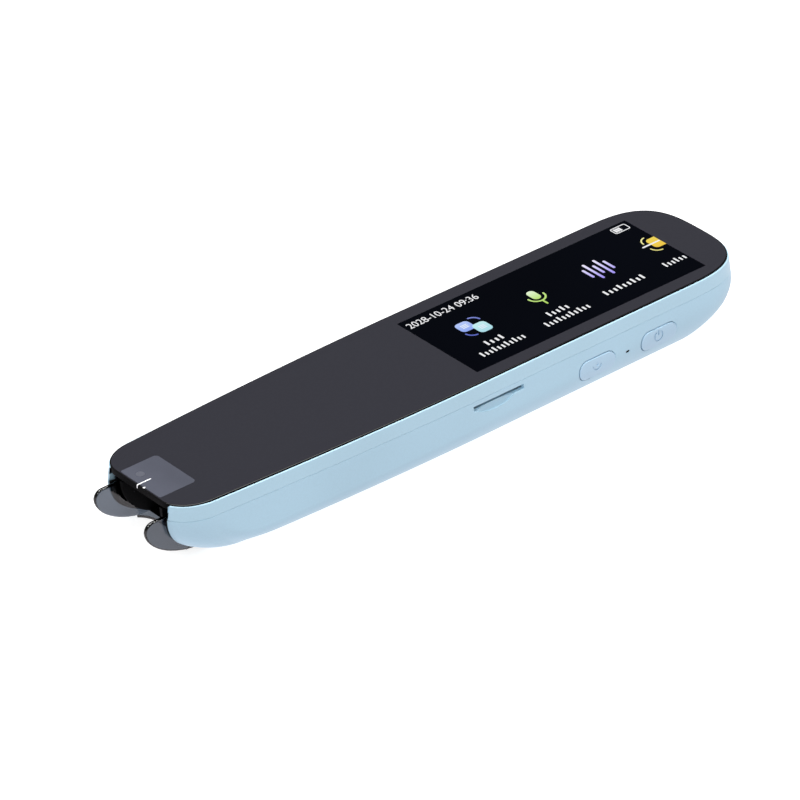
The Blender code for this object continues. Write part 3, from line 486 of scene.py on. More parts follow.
def break_edges(mesh, rounds):
    """Round the sharp edges that lie where a test says, each set by its own radius."""
    shape = bmesh.new()
    shape.from_mesh(mesh)
    bmesh.ops.remove_doubles(shape, verts=shape.verts, dist=weld)
    bmesh.ops.dissolve_degenerate(shape, edges=shape.edges, dist=weld)
    for lies_there, radius in rounds:
        sharp = [edge for edge in shape.edges if len(edge.link_faces) == 2
                 and edge.calc_face_angle() > math.radians(sharp_turn)
                 and all(lies_there(vert.co) for vert in edge.verts)]
        bmesh.ops.bevel(shape, geom=sharp, offset=radius, segments=edge_segments, profile=0.5, affect='EDGES',
                        clamp_overlap=False)
    shape.to_mesh(mesh)
    shape.free()


def shape_with(name, mesh, steps, surface, body, rounds=()):
    """A piece whose mesh is cut and joined with others, its edges broken, and its shading evened."""
    work = link(name + "_work", mesh)
    tools = []
    for operation, other in steps:
        tools.append(link(other.name, other))
        step = work.modifiers.new("shape", 'BOOLEAN')
        step.operation = operation
        step.solver = 'EXACT'
        step.object = tools[-1]
    made_mesh = final_mesh(work, tools)
    break_edges(made_mesh, rounds)
    made = piece(name, made_mesh, surface, body)
    evening = made.modifiers.new("shading", 'WEIGHTED_NORMAL')
    evening.keep_sharp = True
    evening.weight = 80
    return made


def quarter_turn(steps):
    """The sine and cosine of each angle from nought to a right angle."""
    angles = [quarter * i / steps for i in range(steps + 1)]
    return [(math.sin(angle), math.cos(angle)) for angle in angles]


def pill(length, height, x=0.0, z=0.0):
    """A pill outline, long along the first axis, round a centre."""
    radius = height / 2
    centre = length / 2 - radius
    points = []
    for side in (1, -1):
        for i in range(pill_steps + 1):
            angle = math.pi * i / pill_steps - math.pi / 2
            points.append((x + side * (centre + radius * math.cos(angle)),
                           z + side * radius * math.sin(angle)))
    return points


def arc(centre, radius, start, end, steps=24):
    """Points on an arc, angles in degrees."""
    angles = [math.radians(start + (end - start) * i / steps) for i in range(steps + 1)]
    return [(centre[0] + radius * math.cos(angle), centre[1] + radius * math.sin(angle)) for angle in angles]


def stroke(points, width, ends=6):
    """The outline of a line of even width along the points, with round ends."""
    path = [Vector(point) for point in points]
    left, right = [], []
    for i, here in enumerate(path):
        along = (path[min(i + 1, len(path) - 1)] - path[max(i - 1, 0)]).normalized()
        across = Vector((-along.y, along.x)) * width / 2
        left.append(here + across)
        right.append(here - across)
    outline = []
    for side, end, before in ((left, path[-1], path[-2]), (right[::-1], path[0], path[1])):
        away = (end - before).normalized()
        outline += side
        for i in range(1, ends):
            turn = Matrix.Rotation(math.pi / 2 - math.pi * i / ends, 2)
            outline.append(end + turn @ away * width / 2)
    return [tuple(point) for point in outline]


def rounded_box(x_low, y_low, x_high, y_high, *radii):
    """A rectangle with one radius, or one for each corner, from the upper right anticlockwise."""
    corners = [(x_high, y_high, 0), (x_low, y_high, 90), (x_low, y_low, 180), (x_high, y_low, 270)]
    points = []
    for (x, y, turn), radius in zip(corners, radii * (4 // len(radii))):
        cx = x - radius if x == x_high else x + radius
        cy = y - radius if y == y_high else y + radius
        points += arc((cx, cy), radius, turn, turn + 90, 8) if radius else [(x, y)]
    return points


# Housing


def half_width(x):
    """Half the housing's width at x: parallel beside the display, then drawn in towards the tip."""
    run = max(0.0, display_left - x)
    return half_body_width - taper_drop * (run / taper_length) ** taper_power


def half_outline(side_inset, tip_inset, tail_inset, corner_trim, flat_trim=0.0, power=tail_power):
    """The plan of the +Y half from the tail to the tip, as (x, y, tip share, tail share)."""
    tail_centre = tail_x - tail_curve_length
    corner_length = tip_corner_length - corner_trim
    corner_x = tip_x + tip_inset + corner_length
    flat = tip_flat_half_width - flat_trim
    reach = half_body_width - side_inset
    points = []
    for sin, cos in quarter_turn(tail_steps)[:-1]:
        x = tail_centre + (tail_curve_length - tail_inset) * cos ** (2 / power)
        share = tail_blend_share + (1 - tail_blend_share) * cos
        points.append((x, reach * sin ** (2 / power), 0.0, share))
    for i in range(side_steps):
        x = tail_centre + (corner_x - tail_centre) * i / side_steps
        tip = tip_blend_share * max(0.0, 1 - (x - corner_x) / tip_blend_length) ** 2
        tail = tail_blend_share * max(0.0, 1 - (tail_centre - x) / tail_blend_length) ** 2
        points.append((x, half_width(x) - side_inset, tip, tail))
    corner_width = half_width(corner_x) - side_inset - flat
    for sin, cos in quarter_turn(corner_steps):
        share = tip_blend_share + (1 - tip_blend_share) * sin ** 2
        points.append((corner_x - corner_length * sin, flat + corner_width * cos, share, 0.0))
    for i in range(1, flat_steps + 1):
        points.append((tip_x + tip_inset, flat * (1 - i / flat_steps), 1.0, 0.0))
    return points


def whole_outline(half):
    """Both halves of a plan, anticlockwise from the middle of the tail."""
    return half + [(x, -y, tip, tail) for x, y, tip, tail in half[-2:0:-1]]


def drawn_in(mesh):
    """Lean a housing mesh's walls in towards the glass, as the mould's draft does."""
    for vert in mesh.vertices:
        lean = draft * max(0.0, vert.co.z - draft_from)
        vert.co.x *= 1 - lean / tail_x
        vert.co.y *= 1 - lean / half_body_width
    return mesh


def flat_ring(inset, z, tip_inset=None):
    """A level ring of the plan, inset all round."""
    tip = inset if tip_inset is None else tip_inset
    return [(x, y, z) for x, y, _, _ in whole_outline(half_outline(inset, tip, inset, tip))]


def underside_ring(inset, angle, ceiling):
    """A ring of the rounded lower edges: angle 0 on the upright wall, a right angle on the floor."""
    tuck = 1 - math.cos(angle)
    insets = [inset + (full - inset) * tuck
              for full in (side_round, tip_round_length, tail_round_length, tip_corner_trim)]
    half = half_outline(*insets, tip_flat_trim * tuck, tail_power + (tail_floor_power - tail_power) * tuck)
    ring = []
    for x, y, tip, tail in whole_outline(half):
        height = side_round + (tip_round_height - side_round) * tip
        height = min(height + (tail_round_height - side_round) * tail, ceiling)
        ring.append((x, y, inset + (height - inset) * (1 - math.sin(angle))))
    return ring


def lower_rings(inset, ceiling, steps=round_steps):
    """The rings of the rounded lower edges, from the floor up to the upright wall."""
    return [underside_ring(inset, quarter * (1 - i / steps), ceiling) for i in range(steps + 1)]


def wall_inset(x, z):
    """How far the near wall has turned in under the housing at a place on its side."""
    run = 1 - (tail_x - tail_curve_length - x) / tail_blend_length
    height = side_round + (tail_round_height - side_round) * tail_blend_share * max(0.0, run) ** 2
    lean = draft * max(0.0, z - draft_from)
    if z >= height:
        return lean
    return lean + side_round * (1 - math.sqrt(1 - (1 - z / height) ** 2))


def mouth_cutter(name):
    """The opening across the tip, from the underside up to the glass."""
    return block(name, (tip_x - overrun, -mouth_half_width, -overrun),
                 (mouth_rear, mouth_half_width, glass_top + overrun))


def slot_scoop():
    """The hollow scooped into the near side below the slot: half an ellipsoid."""
    shape = bmesh.new()
    bmesh.ops.create_uvsphere(shape, u_segments=64, v_segments=32, radius=1.0)
    bmesh.ops.scale(shape, vec=(scoop_length / 2, scoop_depth, scoop_height), verts=shape.verts)
    cut = bmesh.ops.bisect_plane(shape, geom=shape.verts[:] + shape.edges[:] + shape.faces[:],
                                 plane_co=(0, 0, 0), plane_no=(0, 0, 1), clear_outer=True)
    edges = [part for part in cut["geom_cut"] if isinstance(part, bmesh.types.BMEdge)]
    bmesh.ops.edgeloop_fill(shape, edges=edges)
    place = (slot_x - scoop_shift, side_face + wall_inset(slot_x, slot_top), slot_top)
    bmesh.ops.translate(shape, vec=place, verts=shape.verts)
    return mesh_of(shape, "slot_scoop")


def on_mouth_edge(point):
    """True on the cut faces across the tip."""
    return abs(abs(point.y) - mouth_half_width) < touch and point.x < mouth_rear + touch


def near_side_opening(point):
    """True on the near wall's surface round its holes and the sound slot."""
    if abs(point.y - side_face - wall_inset(point.x, point.z)) > edge_break:
        return False
    places = [(x, key_mid_z, length, height) for _, x, length, height in side_holes]
    places.append((slot_x, slot_top - scoop_reach / 2, slot_length, scoop_reach))
    return any(abs(point.x - x) < length / 2 + clearance and abs(point.z - z) < height / 2 + clearance
               for x, z, length, height in places)


def housing_tray(surface):
    """The lower housing, with its openings' edges finely rounded."""
    top = seam_z - seam_shown / 2
    rings = lower_rings(0.0, seam_z - seam)
    rings += [flat_ring(seam_round * (1 - cos), top - seam_round * (1 - sin)) for sin, cos in quarter_turn(3)]
    rings += [flat_ring(lip_thickness, top), flat_ring(lip_thickness, shelf_z), flat_ring(wall, shelf_z)]
    rings += lower_rings(wall, shelf_z - seam, round_steps // 2)[::-1]
    slit_top = slot_top - slit_drop
    slit_half = slot_length / 2 - slit_inset
    recess_back = side_face + wall_inset(slot_x, slot_top) + recess_depth
    low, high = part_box("socket_shell")
    port = pill(high.y - low.y + 2 * clearance, high.z - low.z + 2 * clearance, 0, (low.z + high.z) / 2)
    cuts = [mouth_cutter("shell_mouth"),
            slot_scoop(),
            block("slot_recess", (slot_x - slot_length / 2, side_face - overrun, slot_top - recess_height),
                  (slot_x + slot_length / 2, recess_back, slot_top)),
            block("slot_slit", (slot_x - slit_half, side_face, slit_top - slit_height),
                  (slot_x + slit_half, near_wall + overrun, slit_top))]
    cuts += [slab(name, pill(length, height, x, key_mid_z), side_face - overrun, near_wall + overrun, "y")
             for name, x, length, height in side_holes]
    cuts.append(slab("port", port, tail_x - tail_round_length / 2, tail_x + overrun, "x"))
    made = shape_with("housing_tray", drawn_in(loft("housing_tray", rings)),
                      [('DIFFERENCE', cut) for cut in cuts], surface, "housing",
                      [(on_mouth_edge, mouth_edge_round), (near_side_opening, edge_break)])
    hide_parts("lower_shell")


def rim_band(surface):
    """The upper housing: the band round the glass, down to the seam, its ledge and its tongue."""
    bottom = seam_z + seam_shown / 2
    tongue_outer = lip_thickness + clearance
    edge = rim_width - draft * (rim_z - draft_from)
    profile = [(0.0, bottom), (rim_lean, rim_z - rim_round)]
    profile += [(rim_lean + rim_round * (1 - cos), rim_z - rim_round * (1 - sin))
                for sin, cos in quarter_turn(4)[1:]]
    profile += [(edge, rim_z), (edge, ledge_top), (ledge_reach, ledge_top), (ledge_reach, ledge_bottom),
                (wall, ledge_bottom), (wall, tongue_bottom), (tongue_outer, tongue_bottom),
                (tongue_outer, bottom)]
    rings = [flat_ring(inset, z) for inset, z in profile]
    made = shape_with("rim_band", drawn_in(loft("rim_band", rings, closed=True)),
                      [('DIFFERENCE', mouth_cutter("frame_mouth"))], surface, "housing",
                      [(on_mouth_edge, mouth_edge_round)])
    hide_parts("upper_frame")


def glass_slab(surface, edge_surface, side_surface):
    """The cover glass: a flat face, an upper edge ground to a soft round and blackened, and an upright side
    whose dead black is partly painted shade.
    """
    rings = [flat_ring(glass_inset, glass_bottom, glass_tip_inset)]
    for sin, cos in quarter_turn(bevel_steps):
        step = bevel_width * (1 - cos)
        rings.append(flat_ring(glass_inset + step, face_z - bevel_height * (1 - sin), glass_tip_inset + step))
    made = piece("glass_slab", loft("glass_slab", rings), surface, "housing",
                 glass_smooth_turn)
    made.data.materials.append(edge_surface)
    made.data.materials.append(side_surface)
    # Faces steeper than the bevel take the dead black side, which is partly painted shade
    for face in made.data.polygons:
        if face.normal.z < face_tilt:
            face.material_index = 1 if face.normal.z > bevel_tilt else 2
    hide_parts("cover_glass")


def beside_mouth(name, rings, inner, outer, rear, top, surface):
    """Two plates of the housing's own outline, one on each side of the mouth, between two widths."""
    for which, side in (("near", -1), ("far", 1)):
        ys = sorted((side * inner, side * outer))
        box = block(name + "_box", (tip_x - overrun, ys[0], -overrun), (rear, ys[1], top))
        shape_with(f"{name}_{which}", drawn_in(loft(name, rings)), [('INTERSECT', box)], surface, "housing")


def mouth_sides(cheek_surface, liner_shade_surface):
    """The housing's solid ends beside the mouth, and the black plates that close the gap to the guard: partly
    painted shade.
    """
    rings = lower_rings(cheek_setback, seam_z)
    rings.append(flat_ring(cheek_setback + rim_lean, rim_z - 2 * cheek_setback))
    beside_mouth("mouth_cheek", rings, mouth_half_width + cheek_gap, mouth_half_width + wall,
                 tip_x + cheek_depth, glass_top, cheek_surface)
    # Black plates that are partly painted shade: they darken the gap beside the mouth as its shadow would
    beside_mouth("mouth_liner", lower_rings(liner_setback, seam_z), mouth_half_width - liner_thickness,
                 mouth_half_width + liner_overlap, mouth_rear, seam_z, liner_shade_surface)


# Guard and keys


def ear_outline():
    """One ear and its rail seen from the side, as (x, z)."""
    front = tip_x - guard_reach
    top = glass_top - guard_top_depth
    rail_bottom = wall + clearance
    rail_end = mouth_rear + guard_rail_length
    lobe = guard_lobe_round
    sweep_height = top - lobe - guard_floor_gap
    power = 2 / guard_sweep_power
    points = [(rail_end, rail_bottom), (rail_end, top)]
    points += [(front + lobe * (1 - sin), top - lobe * (1 - cos)) for sin, cos in quarter_turn(lobe_steps)]
    points += [(front + guard_sweep_length * (1 - cos ** power), top - lobe - sweep_height * sin ** power)
               for sin, cos in quarter_turn(sweep_steps)[1:]]
    return points + [(guard_rear, guard_floor_gap), (guard_rear, rail_bottom)]


def rounded_ear(name, low, high):
    """The mesh of one ear with its edges rounded."""
    made = link(name, slab(name, ear_outline(), low, high, "y"))
    rounding = made.modifiers.new("edges", 'BEVEL')
    rounding.width = guard_shown_round
    rounding.segments = ear_segments
    rounding.limit_method = 'ANGLE'
    rounding.angle_limit = math.radians(ear_sharp_turn)
    return final_mesh(made)


def smoked_guard(surface):
    """The two ears in front of the mouth, and the low bridge between them."""
    outer = mouth_half_width - guard_side_gap
    inner = outer - guard_shown_wall
    front = tip_x + guard_bridge_setback - guard_reach
    middle = outer - guard_wall / 2
    shares = [2 * i / sweep_steps - 1 for i in range(sweep_steps + 1)]
    outline = [(front + guard_bridge_notch * (1 - share ** 4), middle * share) for share in shares]
    outline += [(guard_rear, middle), (guard_rear, -middle)]
    bridge = slab("guard_bridge", outline, guard_floor_gap, guard_floor_gap + guard_floor_thickness, "z")
    steps = [('UNION', rounded_ear("guard_near_ear", -outer, -inner)), ('UNION', bridge)]
    made = shape_with("smoked_guard", rounded_ear("guard_far_ear", inner, outer), steps, surface, "guard")
    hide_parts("nose_guard")


def mic_port(surface):
    """The dark rubber port that shows at the bottom of the microphone's hole."""
    outline = pill(mic_hole_length + edge_break, mic_hole_height + edge_break, mic_x, key_mid_z)
    piece("mic_port", slab("mic_port", outline, side_face + mic_port_depth, near_wall + edge_break, "y"),
          surface, "housing")


def key_cap(name, x, surface, body, mark):
    """A pill key with a softly rounded face, its flange and nub, and the outlines of its mark engraved."""
    face = side_face - key_proud
    flange = side_face + key_flange_back
    flange_back = flange + key_flange_thickness
    length = key_length + 2 * (clearance - key_gap)
    height = key_height + 2 * (clearance - key_gap)
    edge = key_edge_round

    def outline(inset):
        return pill(length - 2 * inset, height - 2 * inset, x + key_drift, key_mid_z - key_sag)

    def ring(inset, level):
        return [(px, level + wall_inset(px, pz), pz) for px, pz in outline(inset)]

    rings = [ring(edge + (height / 2 - edge - key_core) * (1 - i / 5), face) for i in range(5)]
    rings += [ring(edge * (1 - cos), face + edge * (1 - sin)) for sin, cos in quarter_turn(6)[::-1]]
    rings.append([(px, flange_back, pz) for px, pz in outline(0.0)])
    margin = 2 * key_flange_margin
    plate = slab("flange", pill(key_length + margin, key_height + margin, x, key_mid_z), flange,
                 flange_back, "y")
    nub = slab("nub", pill(2 * key_nub_radius, 2 * key_nub_radius, x, key_mid_z), flange,
               flange_back + key_nub_length, "y")
    depth = face + wall_inset(mark[0][0][0], mark_z - mark_radius) + mark_depth
    steps = [('UNION', plate), ('UNION', nub)]
    steps += [('DIFFERENCE', slab("mark", line, side_face - overrun, depth, "y")) for line in mark]
    made = shape_with(name + "_cap", loft(name, rings), steps, surface, body)
    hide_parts(name)


def key_marks():
    """The outlines of the keys' marks: the usual open ring with a bar, and a half ring round a dot."""
    x, z = power_key_x + mark_shift, mark_z
    bar = stroke([(x, z + 0.25 * mark_radius), (x, z + 1.15 * mark_radius)], mark_width)
    power = [stroke(arc((x, z), mark_radius, 125, 415), mark_width), bar]
    x, z = function_key_x + mark_shift, mark_z + 0.2 * mm
    dot = arc((x, z + 0.05 * mm), 0.4 * mark_radius, 0, 345, 16)
    return power, [stroke(arc((x, z), mark_radius, 190, 350), mark_width), dot]


# Display and sight window, drawn in millimetres from the pen's origin


def on_glass(name, outlines, surface, base, rise=print_rise):
    """Thin printed or lit shapes on the cover glass as one piece, round a level above the glass."""
    shape = bmesh.new()
    for outline in outlines:
        points = [(x * mm, y * mm + print_shift) for x, y in outline]
        part = slab(name, points, face_z + base - rise, face_z + base + rise, "z")
        shape.from_mesh(part)
        bpy.data.meshes.remove(part)
    piece(name, mesh_of(shape, name), surface, "housing")


def greeked(left, right, middle, count):
    """Plain blocks of the size of letters, which stand for a word of that many letters."""
    short, tall = 1.25, 1.75
    heights = (tall, short, short, tall, short, short, tall, short, tall, short, short)
    below_middle, width_share, corner = 0.65, 0.4, 0.12
    pitch = (right - left) / count
    foot = middle - below_middle
    return [rounded_box(left + pitch * i, foot, left + pitch * i + width_share * pitch, foot + heights[i],
                        corner) for i in range(count)]


def clock_digits(surface, level):
    """A date and a time as the display's font shows them, stretched to the place they fill."""
    text = bpy.data.curves.new("clock", 'FONT')
    text.body = "2028-10-24 09:36"
    text.size = 2.6 * mm
    text.extrude = 0.01 * mm
    mesh = final_mesh(link("clock_text", text))
    xs = [vert.co.x for vert in mesh.vertices]
    ys = [vert.co.y for vert in mesh.vertices]
    x, y, length, height = 2.95 * mm, 9.05 * mm + print_shift, 18.6 * mm, 2 * mm
    stretch_x = length / (max(xs) - min(xs))
    stretch_y = height / (max(ys) - min(ys))
    for vert in mesh.vertices:
        vert.co = (x + (vert.co.x - min(xs)) * stretch_x, y + (vert.co.y - min(ys)) * stretch_y,
                   level + vert.co.z)
    piece("clock_digits", mesh, surface, "housing")


def display_face(dark_surface):
    """The display's active area, and everything lit on it."""
    left, right, half = display_left / mm, display_right / mm, display_half_width / mm
    on_glass("display_area", [rounded_box(left, -half, right, half, 0)], dark_surface, print_rise)

    # Each lit colour: at the top, at the bottom, and the y where these lie
    fades = {"white": ("f4f5f7", "f4f5f7", -1, 1), "periwinkle": ("b9cdfd", "93adf5", 0.7, 4.2),
             "cyan": ("c8f1f2", "aedfeb", -1.9, 1.8), "pale": ("eaf2fb", "e2ecfa", -1, 4),
             "indigo": ("7f8bd6", "5f6cc4", -1, 4), "green": ("ecfadf", "bfe57c", 0.6, 4.2),
             "leaf_green": ("c6e88c", "b4dc6a", -2, 2), "violet": ("f0ecff", "a89bf8", -1.9, 4.4),
             "yellow": ("efd75a", "f2c94a", -0.5, 3.4), "pale_yellow": ("f6f2a8", "ece48c", -1.7, 4.4)}
    lit = {name: lit_pixels("lit_" + name, *fade) for name, fade in fades.items()}

    frame_line = rounded_box(60.0, 9.4, 63.95, 11.5, 0.4)
    # Each icon's part: name, colour, layer above the display, outlines
    shapes = [
        ("icon_page_left", "periwinkle", 1, [rounded_box(10.0, 0.7, 13.5, 4.2, 1)]),
        ("icon_page_right", "cyan", 2, [rounded_box(12.7, -1.85, 16.1, 1.85, 1)]),
        ("icon_page_marks_left", "pale", 2, [stroke([(11.0, y), (12.5, y)], 0.24) for y in (2.0, 2.5, 3.0)]),
        ("icon_page_marks_right", "pale", 3,
         [stroke([(13.7, y), (15.1, y)], 0.24) for y in (-0.5, 0.0, 0.5)]),
        ("icon_arc_upper", "indigo", 1, [stroke(arc((14.1, 2.5), 1.95, 10, 85), 0.4)]),
        ("icon_arc_lower", "indigo", 1, [stroke(arc((11.9, 0.4), 1.95, 190, 265), 0.4)]),
        ("icon_mic_capsule", "green", 1, [rounded_box(29.45, 0.6, 31.5, 4.15, 1.02)]),
        ("icon_mic_cradle", "leaf_green", 1, [stroke(arc((30.5, 1.75), 2.05, 180, 360), 0.42)]),
        ("icon_mic_stem", "leaf_green", 2, [stroke([(30.5, -0.4), (30.5, -1.9)], 0.42)])]
    for number, x in enumerate((44.6, 46.05, 47.5, 48.95, 50.4), 1):
        low, high = (-0.35, 2.8) if number % 2 else (-1.9, 4.4)
        shapes.append((f"icon_sound_bar_{number}", "violet", 1, [stroke([(x, low), (x, high)], 0.62)]))
    shapes += [
        ("icon_book_block", "yellow", 1, [rounded_box(62.4, -0.5, right - 0.02, 3.4, 0, 0.9, 0.9, 0)]),
        ("icon_book_line", "white", 2, [stroke([(60.3, 1.45), (right - 0.3, 1.45)], 0.42)]),
        ("icon_book_arc_upper", "pale_yellow", 1, [stroke(arc((63.2, 2.5), 1.85, 95, 180), 0.32)]),
        ("icon_book_arc_lower", "pale_yellow", 1, [stroke(arc((63.0, 0.2), 1.85, 185, 270), 0.32)]),
        ("icon_battery_outline", "white", 1, [stroke(frame_line + frame_line[:1], 0.22)])]
    for number, x in enumerate((60.4, 61.02, 61.64), 1):
        shapes.append((f"icon_battery_bar_{number}", "white", 1, [rounded_box(x, 9.75, x + 0.5, 11.15, 0.1)]))
    # Labels are greeked: left and right end, middle height and number of letters
    rows = {"label_1_upper": (10.6, 15.7, -5.6, 4), "label_1_lower": (7.0, 19.0, -8.4, 11),
            "label_2_upper": (27.5, 33.5, -5.6, 5), "label_2_lower": (24.5, 36.8, -8.4, 11),
            "label_3": (41.8, 53.2, -7.2, 9), "label_4": (58.7, 65.05, -7.0, 6)}
    shapes += [(name, "white", 1, greeked(*row)) for name, row in rows.items()]
    for name, colour, layer, outlines in shapes:
        on_glass(name, outlines, lit[colour], print_rise + layer * layer_step)
    clock_digits(lit["white"], face_z + print_rise + layer_step)


def sight_area(window, ring_surface, ink):
    """The clear part of the glass at the tip, with a ring over the lens, the aiming line and its dot."""
    film = print_rise / 2
    on_glass("sight_area", [rounded_box(-74.25, -6.2, -65.2, 6.5, 0.9, 0.5, 0.5, 0.9)], window, film, film)
    on_glass("sight_ring", [arc((-71.9, 3.1), 0.9, 0, 349, 32)], ring_surface, 3 * film, film)
    bend = tip_x + glass_tip_inset + bevel_width
    path = [(line_start, face_z)]
    path += [(bend - bevel_width * sin, face_z - bevel_height * (1 - cos)) for sin, cos in quarter_turn(6)]
    path.append((bend - bevel_width, face_z - line_drop))
    y = line_y + print_shift
    rings = []
    for i, (x, z) in enumerate(path):
        before, after = path[max(i - 1, 0)], path[min(i + 1, len(path) - 1)]
        along = (Vector(after) - Vector(before)).normalized()
        out = Vector((along.y, -along.x)) * line_rise
        if out.y < 0 or out.x > 0:
            out = -out
        rings.append([(x + rise * out.x, y + side * line_half_width, z + rise * out.y)
                      for rise, side in ((-1, -1), (-1, 1), (1, 1), (1, -1))])
    piece("aiming_line", loft("aiming_line", rings), ink, "housing")
    on_glass("aiming_dot", [arc((-74.35, -1.3), 0.25, 0, 345, 16)], ink, print_rise)


# Pieces carried over from the CAD


def dress_nodes():
    """Give every CAD piece that still shows the finish of what it really is."""
    finishes = [
        # Rolled sheet, dull grey with fine rolling lines
        (metal("stamped_stainless_steel", "b4b6b9", 0.32, "x", 0.15 * mm),
         "display_backlight power_switch function_switch"),
        # Drawn and washed: brighter, with softer lines
        (metal("drawn_stainless_steel", "c9cbce", 0.22, "x", 0.12 * mm), "socket_shell radio_shield"),
        # Bluish white plating over turned steel
        (metal("zinc_plated_steel", "aeb1b6", 0.3, "z", 0.1 * mm),
         "board_screw_1 board_screw_2 board_screw_3"),
        # Dyed black, with the turning marks still there
        (metal("black_anodised_aluminium", "17181b", 0.4, "x", 0.1 * mm), "lens_barrel"),
        # Warm pale yellow can
        (metal("gold_plated_can", "c9b27a", 0.28, "z", 0.1 * mm), "microphone"),
        # Reddish copper with soft lines
        (metal("etched_copper_foil", "a5713c", 0.35, "x", 0.2 * mm), "antenna"),
        # Glass laminated over the panel: black and smooth
        (moulded("laminated_display_glass", "0a0b10", 0.12, 1.5, 0.05, 0.5 * mm), "display_panel"),
        # Matt black, so that no stray light reaches the lens
        (moulded("matt_black_polycarbonate", "08080a", 0.8, 1.58, 0.1, 0.35 * mm, 0.1), "scan_shroud"),
        # Black, half matt and a little uneven
        (moulded("black_nylon", "17181b", 0.5, 1.53, 0.08), "lens_holder scan_switch"),
        (moulded("black_pbt", "17181b", 0.5, 1.55, 0.08), "speaker"),
        (moulded("black_liquid_crystal_polymer", "1e1f22", 0.5, 1.6, 0.08), "socket_tongue"),
        # Dark grey, filled with glass: duller, with a coarser speckle
        (moulded("moulded_epoxy", "1b1c1f", 0.55, 1.55, 0.1, 0.25 * mm), "processor memory_chip power_chip"),
        # Milky white and slippery
        (moulded("white_acetal", "e6e6e2", 0.4, 1.48, 0.04),
         "scan_switch_pin power_switch_pin function_switch_pin"),
        # Undyed: cream
        (moulded("natural_nylon", "e0dac4", 0.5, 1.53, 0.05), "battery_plug"),
        # Soft and dull black
        (moulded("silicone_rubber", "1b1b1d", 0.75, 1.41, 0.1, 0.35 * mm), "mic_boot"),
        # Extruded jackets with a soft shine
        (moulded("red_pvc", "b3261e", 0.45, 1.54, 0.06), "battery_lead_red"),
        (moulded("black_pvc", "1a1a1c", 0.45, 1.54, 0.06), "battery_lead_black"),
        # Phosphor in silicone: pale yellow
        (moulded("white_lamp_silicone", "e9e3c4", 0.4, 1.41, 0.05), "lamp_near lamp_far"),
        (solder_mask("green_solder_mask", "14482f", "2b6d4a"), "main_board lamp_board camera_board"),
        (solder_mask("amber_taped_board", "a9832a", "c2a04a"), "protection_board"),
        (woven_mesh("woven_steel_cloth", "55585e"), "sound_mesh"),
        # Soft crinkles of a few millimetres and a dull silver gloss
        (patterned("aluminium_laminate_pouch", "c3c6cb", 3 * mm, 3.0, gloss=(0.25, 0.45),
                   bump=(0.4, 0.1 * mm), rest={"Metallic": 0.8}), "battery_cell"),
        # Open cells of 0.4 mm that take up the light
        (patterned("polyurethane_foam", "2a2a2d", 0.4 * mm, 0.0, tone=(0.5, 1.3), bump=(0.8, 0.1 * mm),
                   rest={"Roughness": 0.95}, pattern="TexVoronoi"), "battery_foam"),
        (polyimide("polyimide_flex_lengthwise", "Y"), "display_flex"),
        (polyimide("polyimide_flex_upright", "Z"), "camera_flex"),
        (clear_acrylic("frosted_acrylic", "8f9498"), "light_bar"),
        (clear_acrylic("hard_coated_acrylic", "9a9ca4"), "sight_window")]
    for finish, names in finishes:
        for name in names.split():
            mesh = nodes[name].data
            mesh.materials.clear()
            mesh.materials.append(finish)


# Stage, light and camera


def studio():
    """A plain white floor, a dome that is bright at the horizon, and three soft boxes."""
    half_side, drop = 4.0, 0.1 * mm
    shape = bmesh.new()
    bmesh.ops.create_grid(shape, x_segments=8, y_segments=8, size=half_side)
    bmesh.ops.translate(shape, vec=(0, 0, -drop), verts=shape.verts)
    floor = link("floor", mesh_of(shape, "floor"))
    # Paper that glows a little, so that it stays plain white at the edges of the picture
    floor.data.materials.append(patterned(
        "floor_white", "ffffff", 2 * mm, tone=(0.4, 0.42),
        rest={"Roughness": 0.9, "Specular IOR Level": 0.1, "Emission Color": linear("ffffff"),
              "Emission Strength": 0.85}))
    # Its bounce is left to the dome, so that the low sides aren't brighter than the rest
    floor.visible_diffuse = False
    floor.visible_glossy = False

    world = bpy.data.worlds.new("dome")
    bpy.context.scene.world = world
    world.use_nodes = True
    tree = world.node_tree
    way = add(tree, "TexCoord", {}).outputs["Generated"]
    height = add(tree, "SeparateXYZ", {"Vector": way}).outputs["Z"]
    rise = add(tree, "MapRange", {"Value": height, **onto(0.0, 1.0, -1.0)})
    ramp = add(tree, "ValToRGB", {"Fac": rise})
    # From straight down (0) to straight up (1), and how bright it is there
    stops = ((0.0, 0.8), (0.45, 0.86), (0.52, 0.3), (0.6, 0.28), (0.71, 0.09), (0.81, 0.09), (0.92, 0.24))
    while len(ramp.color_ramp.elements) < len(stops):
        ramp.color_ramp.elements.new(0.5)
    for stop, (position, level) in zip(ramp.color_ramp.elements, stops):
        stop.position = position
        green_share = 0.96 if position < 0.5 else 1.01
        stop.color = (level, level * green_share, level, 1.0)
    put(tree, tree.nodes["Background"], {"Color": ramp, "Strength": 1.42})

    for name, where, size, power in (("soft_box_left", (-0.7, -0.5, 0.9), (0.5, 0.5), 3.4),
                                     ("soft_box_right", (0.75, -0.7, 0.85), (0.5, 0.5), 2.8),
                                     ("soft_box_over", (0.03, 0.1, 1.1), (1.3, 0.8), 20.0)):
        lamp = bpy.data.lights.new(name, 'AREA')
        lamp.shape = 'RECTANGLE'
        lamp.size, lamp.size_y = size
        lamp.energy = power
        holder = link(name, lamp)
        holder.location = where
        holder.rotation_euler = (-Vector(where)).to_track_quat('-Z', 'Y').to_euler()
    bpy.context.scene.view_settings.view_transform = 'Standard'


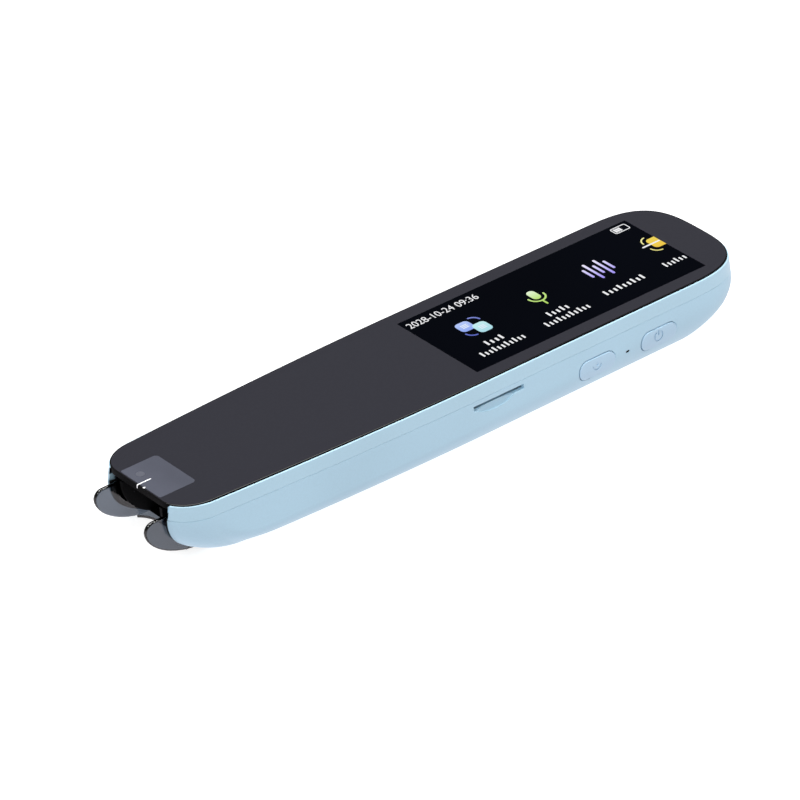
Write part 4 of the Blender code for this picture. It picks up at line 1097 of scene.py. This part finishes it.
def photo_camera():
    """The photograph's view: from the tip's near side, 32 degrees above the glass."""
    back = Vector((-0.54114, -0.65089, 0.53245)).normalized()
    up = Vector((0.35546, 0.39678, 0.84630))
    right = up.cross(back).normalized()
    up = back.cross(right)
    target = (Vector((-15.98, -9.90, 14.0)) - 0.12 * up) * mm
    distance = 1.051
    focal_pixels, picture_pixels, sensor = 5251, 800, 36
    lens = bpy.data.cameras.new("photo_camera")
    lens.sensor_width = sensor
    lens.lens = focal_pixels / picture_pixels * sensor
    lens.clip_start, lens.clip_end = 0.01, 20
    camera = link("photo_camera", lens)
    turn = Matrix((right, up, back)).transposed()
    camera.matrix_world = Matrix.Translation(target + back * distance) @ turn.to_4x4()
    bpy.context.scene.camera = camera


photo_camera()
studio()

# Light blue ABS from eroded moulds: a fine satin, the frame and the keys a little smoother
shell_abs = moulded("satin_abs_shell", "b0d2e4", 0.42, 1.53, grain=0.4 * mm)
frame_abs = moulded("satin_abs_frame", "b1d3e4", 0.33, 1.53, grain=0.4 * mm)
key_abs = moulded("satin_abs_key", "b1d0e5", 0.38, 1.53, grain=0.4 * mm)
# Toughened glass with charcoal ink printed on its back: even, deep grey under a clear gloss
inked_glass = patterned("ink_backed_glass", "2b2b31", 0.5 * mm, 2.0, tone=(0.94, 1.06),
                        rest={"Roughness": 0.05, "IOR": 1.5, "Specular IOR Level": 0.12})
# The glass's ground and polished edge, black with ink: a dark line with a sharp highlight along it
glass_edge = patterned("black_glass_edge", "0c0b0c", 0.4 * mm, 2.0, gloss=(0.04, 0.12),
                       rest={"IOR": 1.5, "Specular IOR Level": 0.35})
# Below the bevel the ink lies on a sawn side: dead black, and partly painted shade for the dark gap by the
# rim
glass_side = moulded("black_glass_side_and_painted_shade", "050506", 0.6, 1.5, 0.08, gloss_level=0.06)
# The unlit display through the glass: near black, with a trace of backlight
dark_display = patterned("dark_display", "020307", 30 * mm, 0.0, tone=(0.7, 1.4),
                         rest={"Roughness": 0.05, "Specular IOR Level": 0.03})
# Screen-printed inks: a faint grey ring and opaque white
ring_ink = moulded("sight_ring_print", "53555f", 0.3, 1.5, 0.03)
white_ink = moulded("white_ink", "f2f3f5", 0.4, 1.5, 0.03)
# Matt black plastic that hides the mouth's inside, partly painted shade for the gap by the guard, and soft
# dull rubber
mouth_lining_shade = moulded("matt_black_lining_and_painted_shade", "08080a", 0.8, 1.58, 0.1, 0.35 * mm, 0.1)
port_rubber = moulded("microphone_port_rubber", "0d0d0f", 0.8, 1.41, 0.08)

housing_tray(shell_abs)
rim_band(frame_abs)
glass_slab(inked_glass, glass_edge, glass_side)
smoked_guard(smoked_polycarbonate())
power_mark, function_mark = key_marks()
key_cap("power_key", power_key_x, key_abs, "power", power_mark)
key_cap("function_key", function_key_x, key_abs, "function", function_mark)
display_face(dark_display)
sight_area(smoky_sight_window(), ring_ink, white_ink)
mouth_sides(frame_abs, mouth_lining_shade)
mic_port(port_rubber)
dress_nodes()
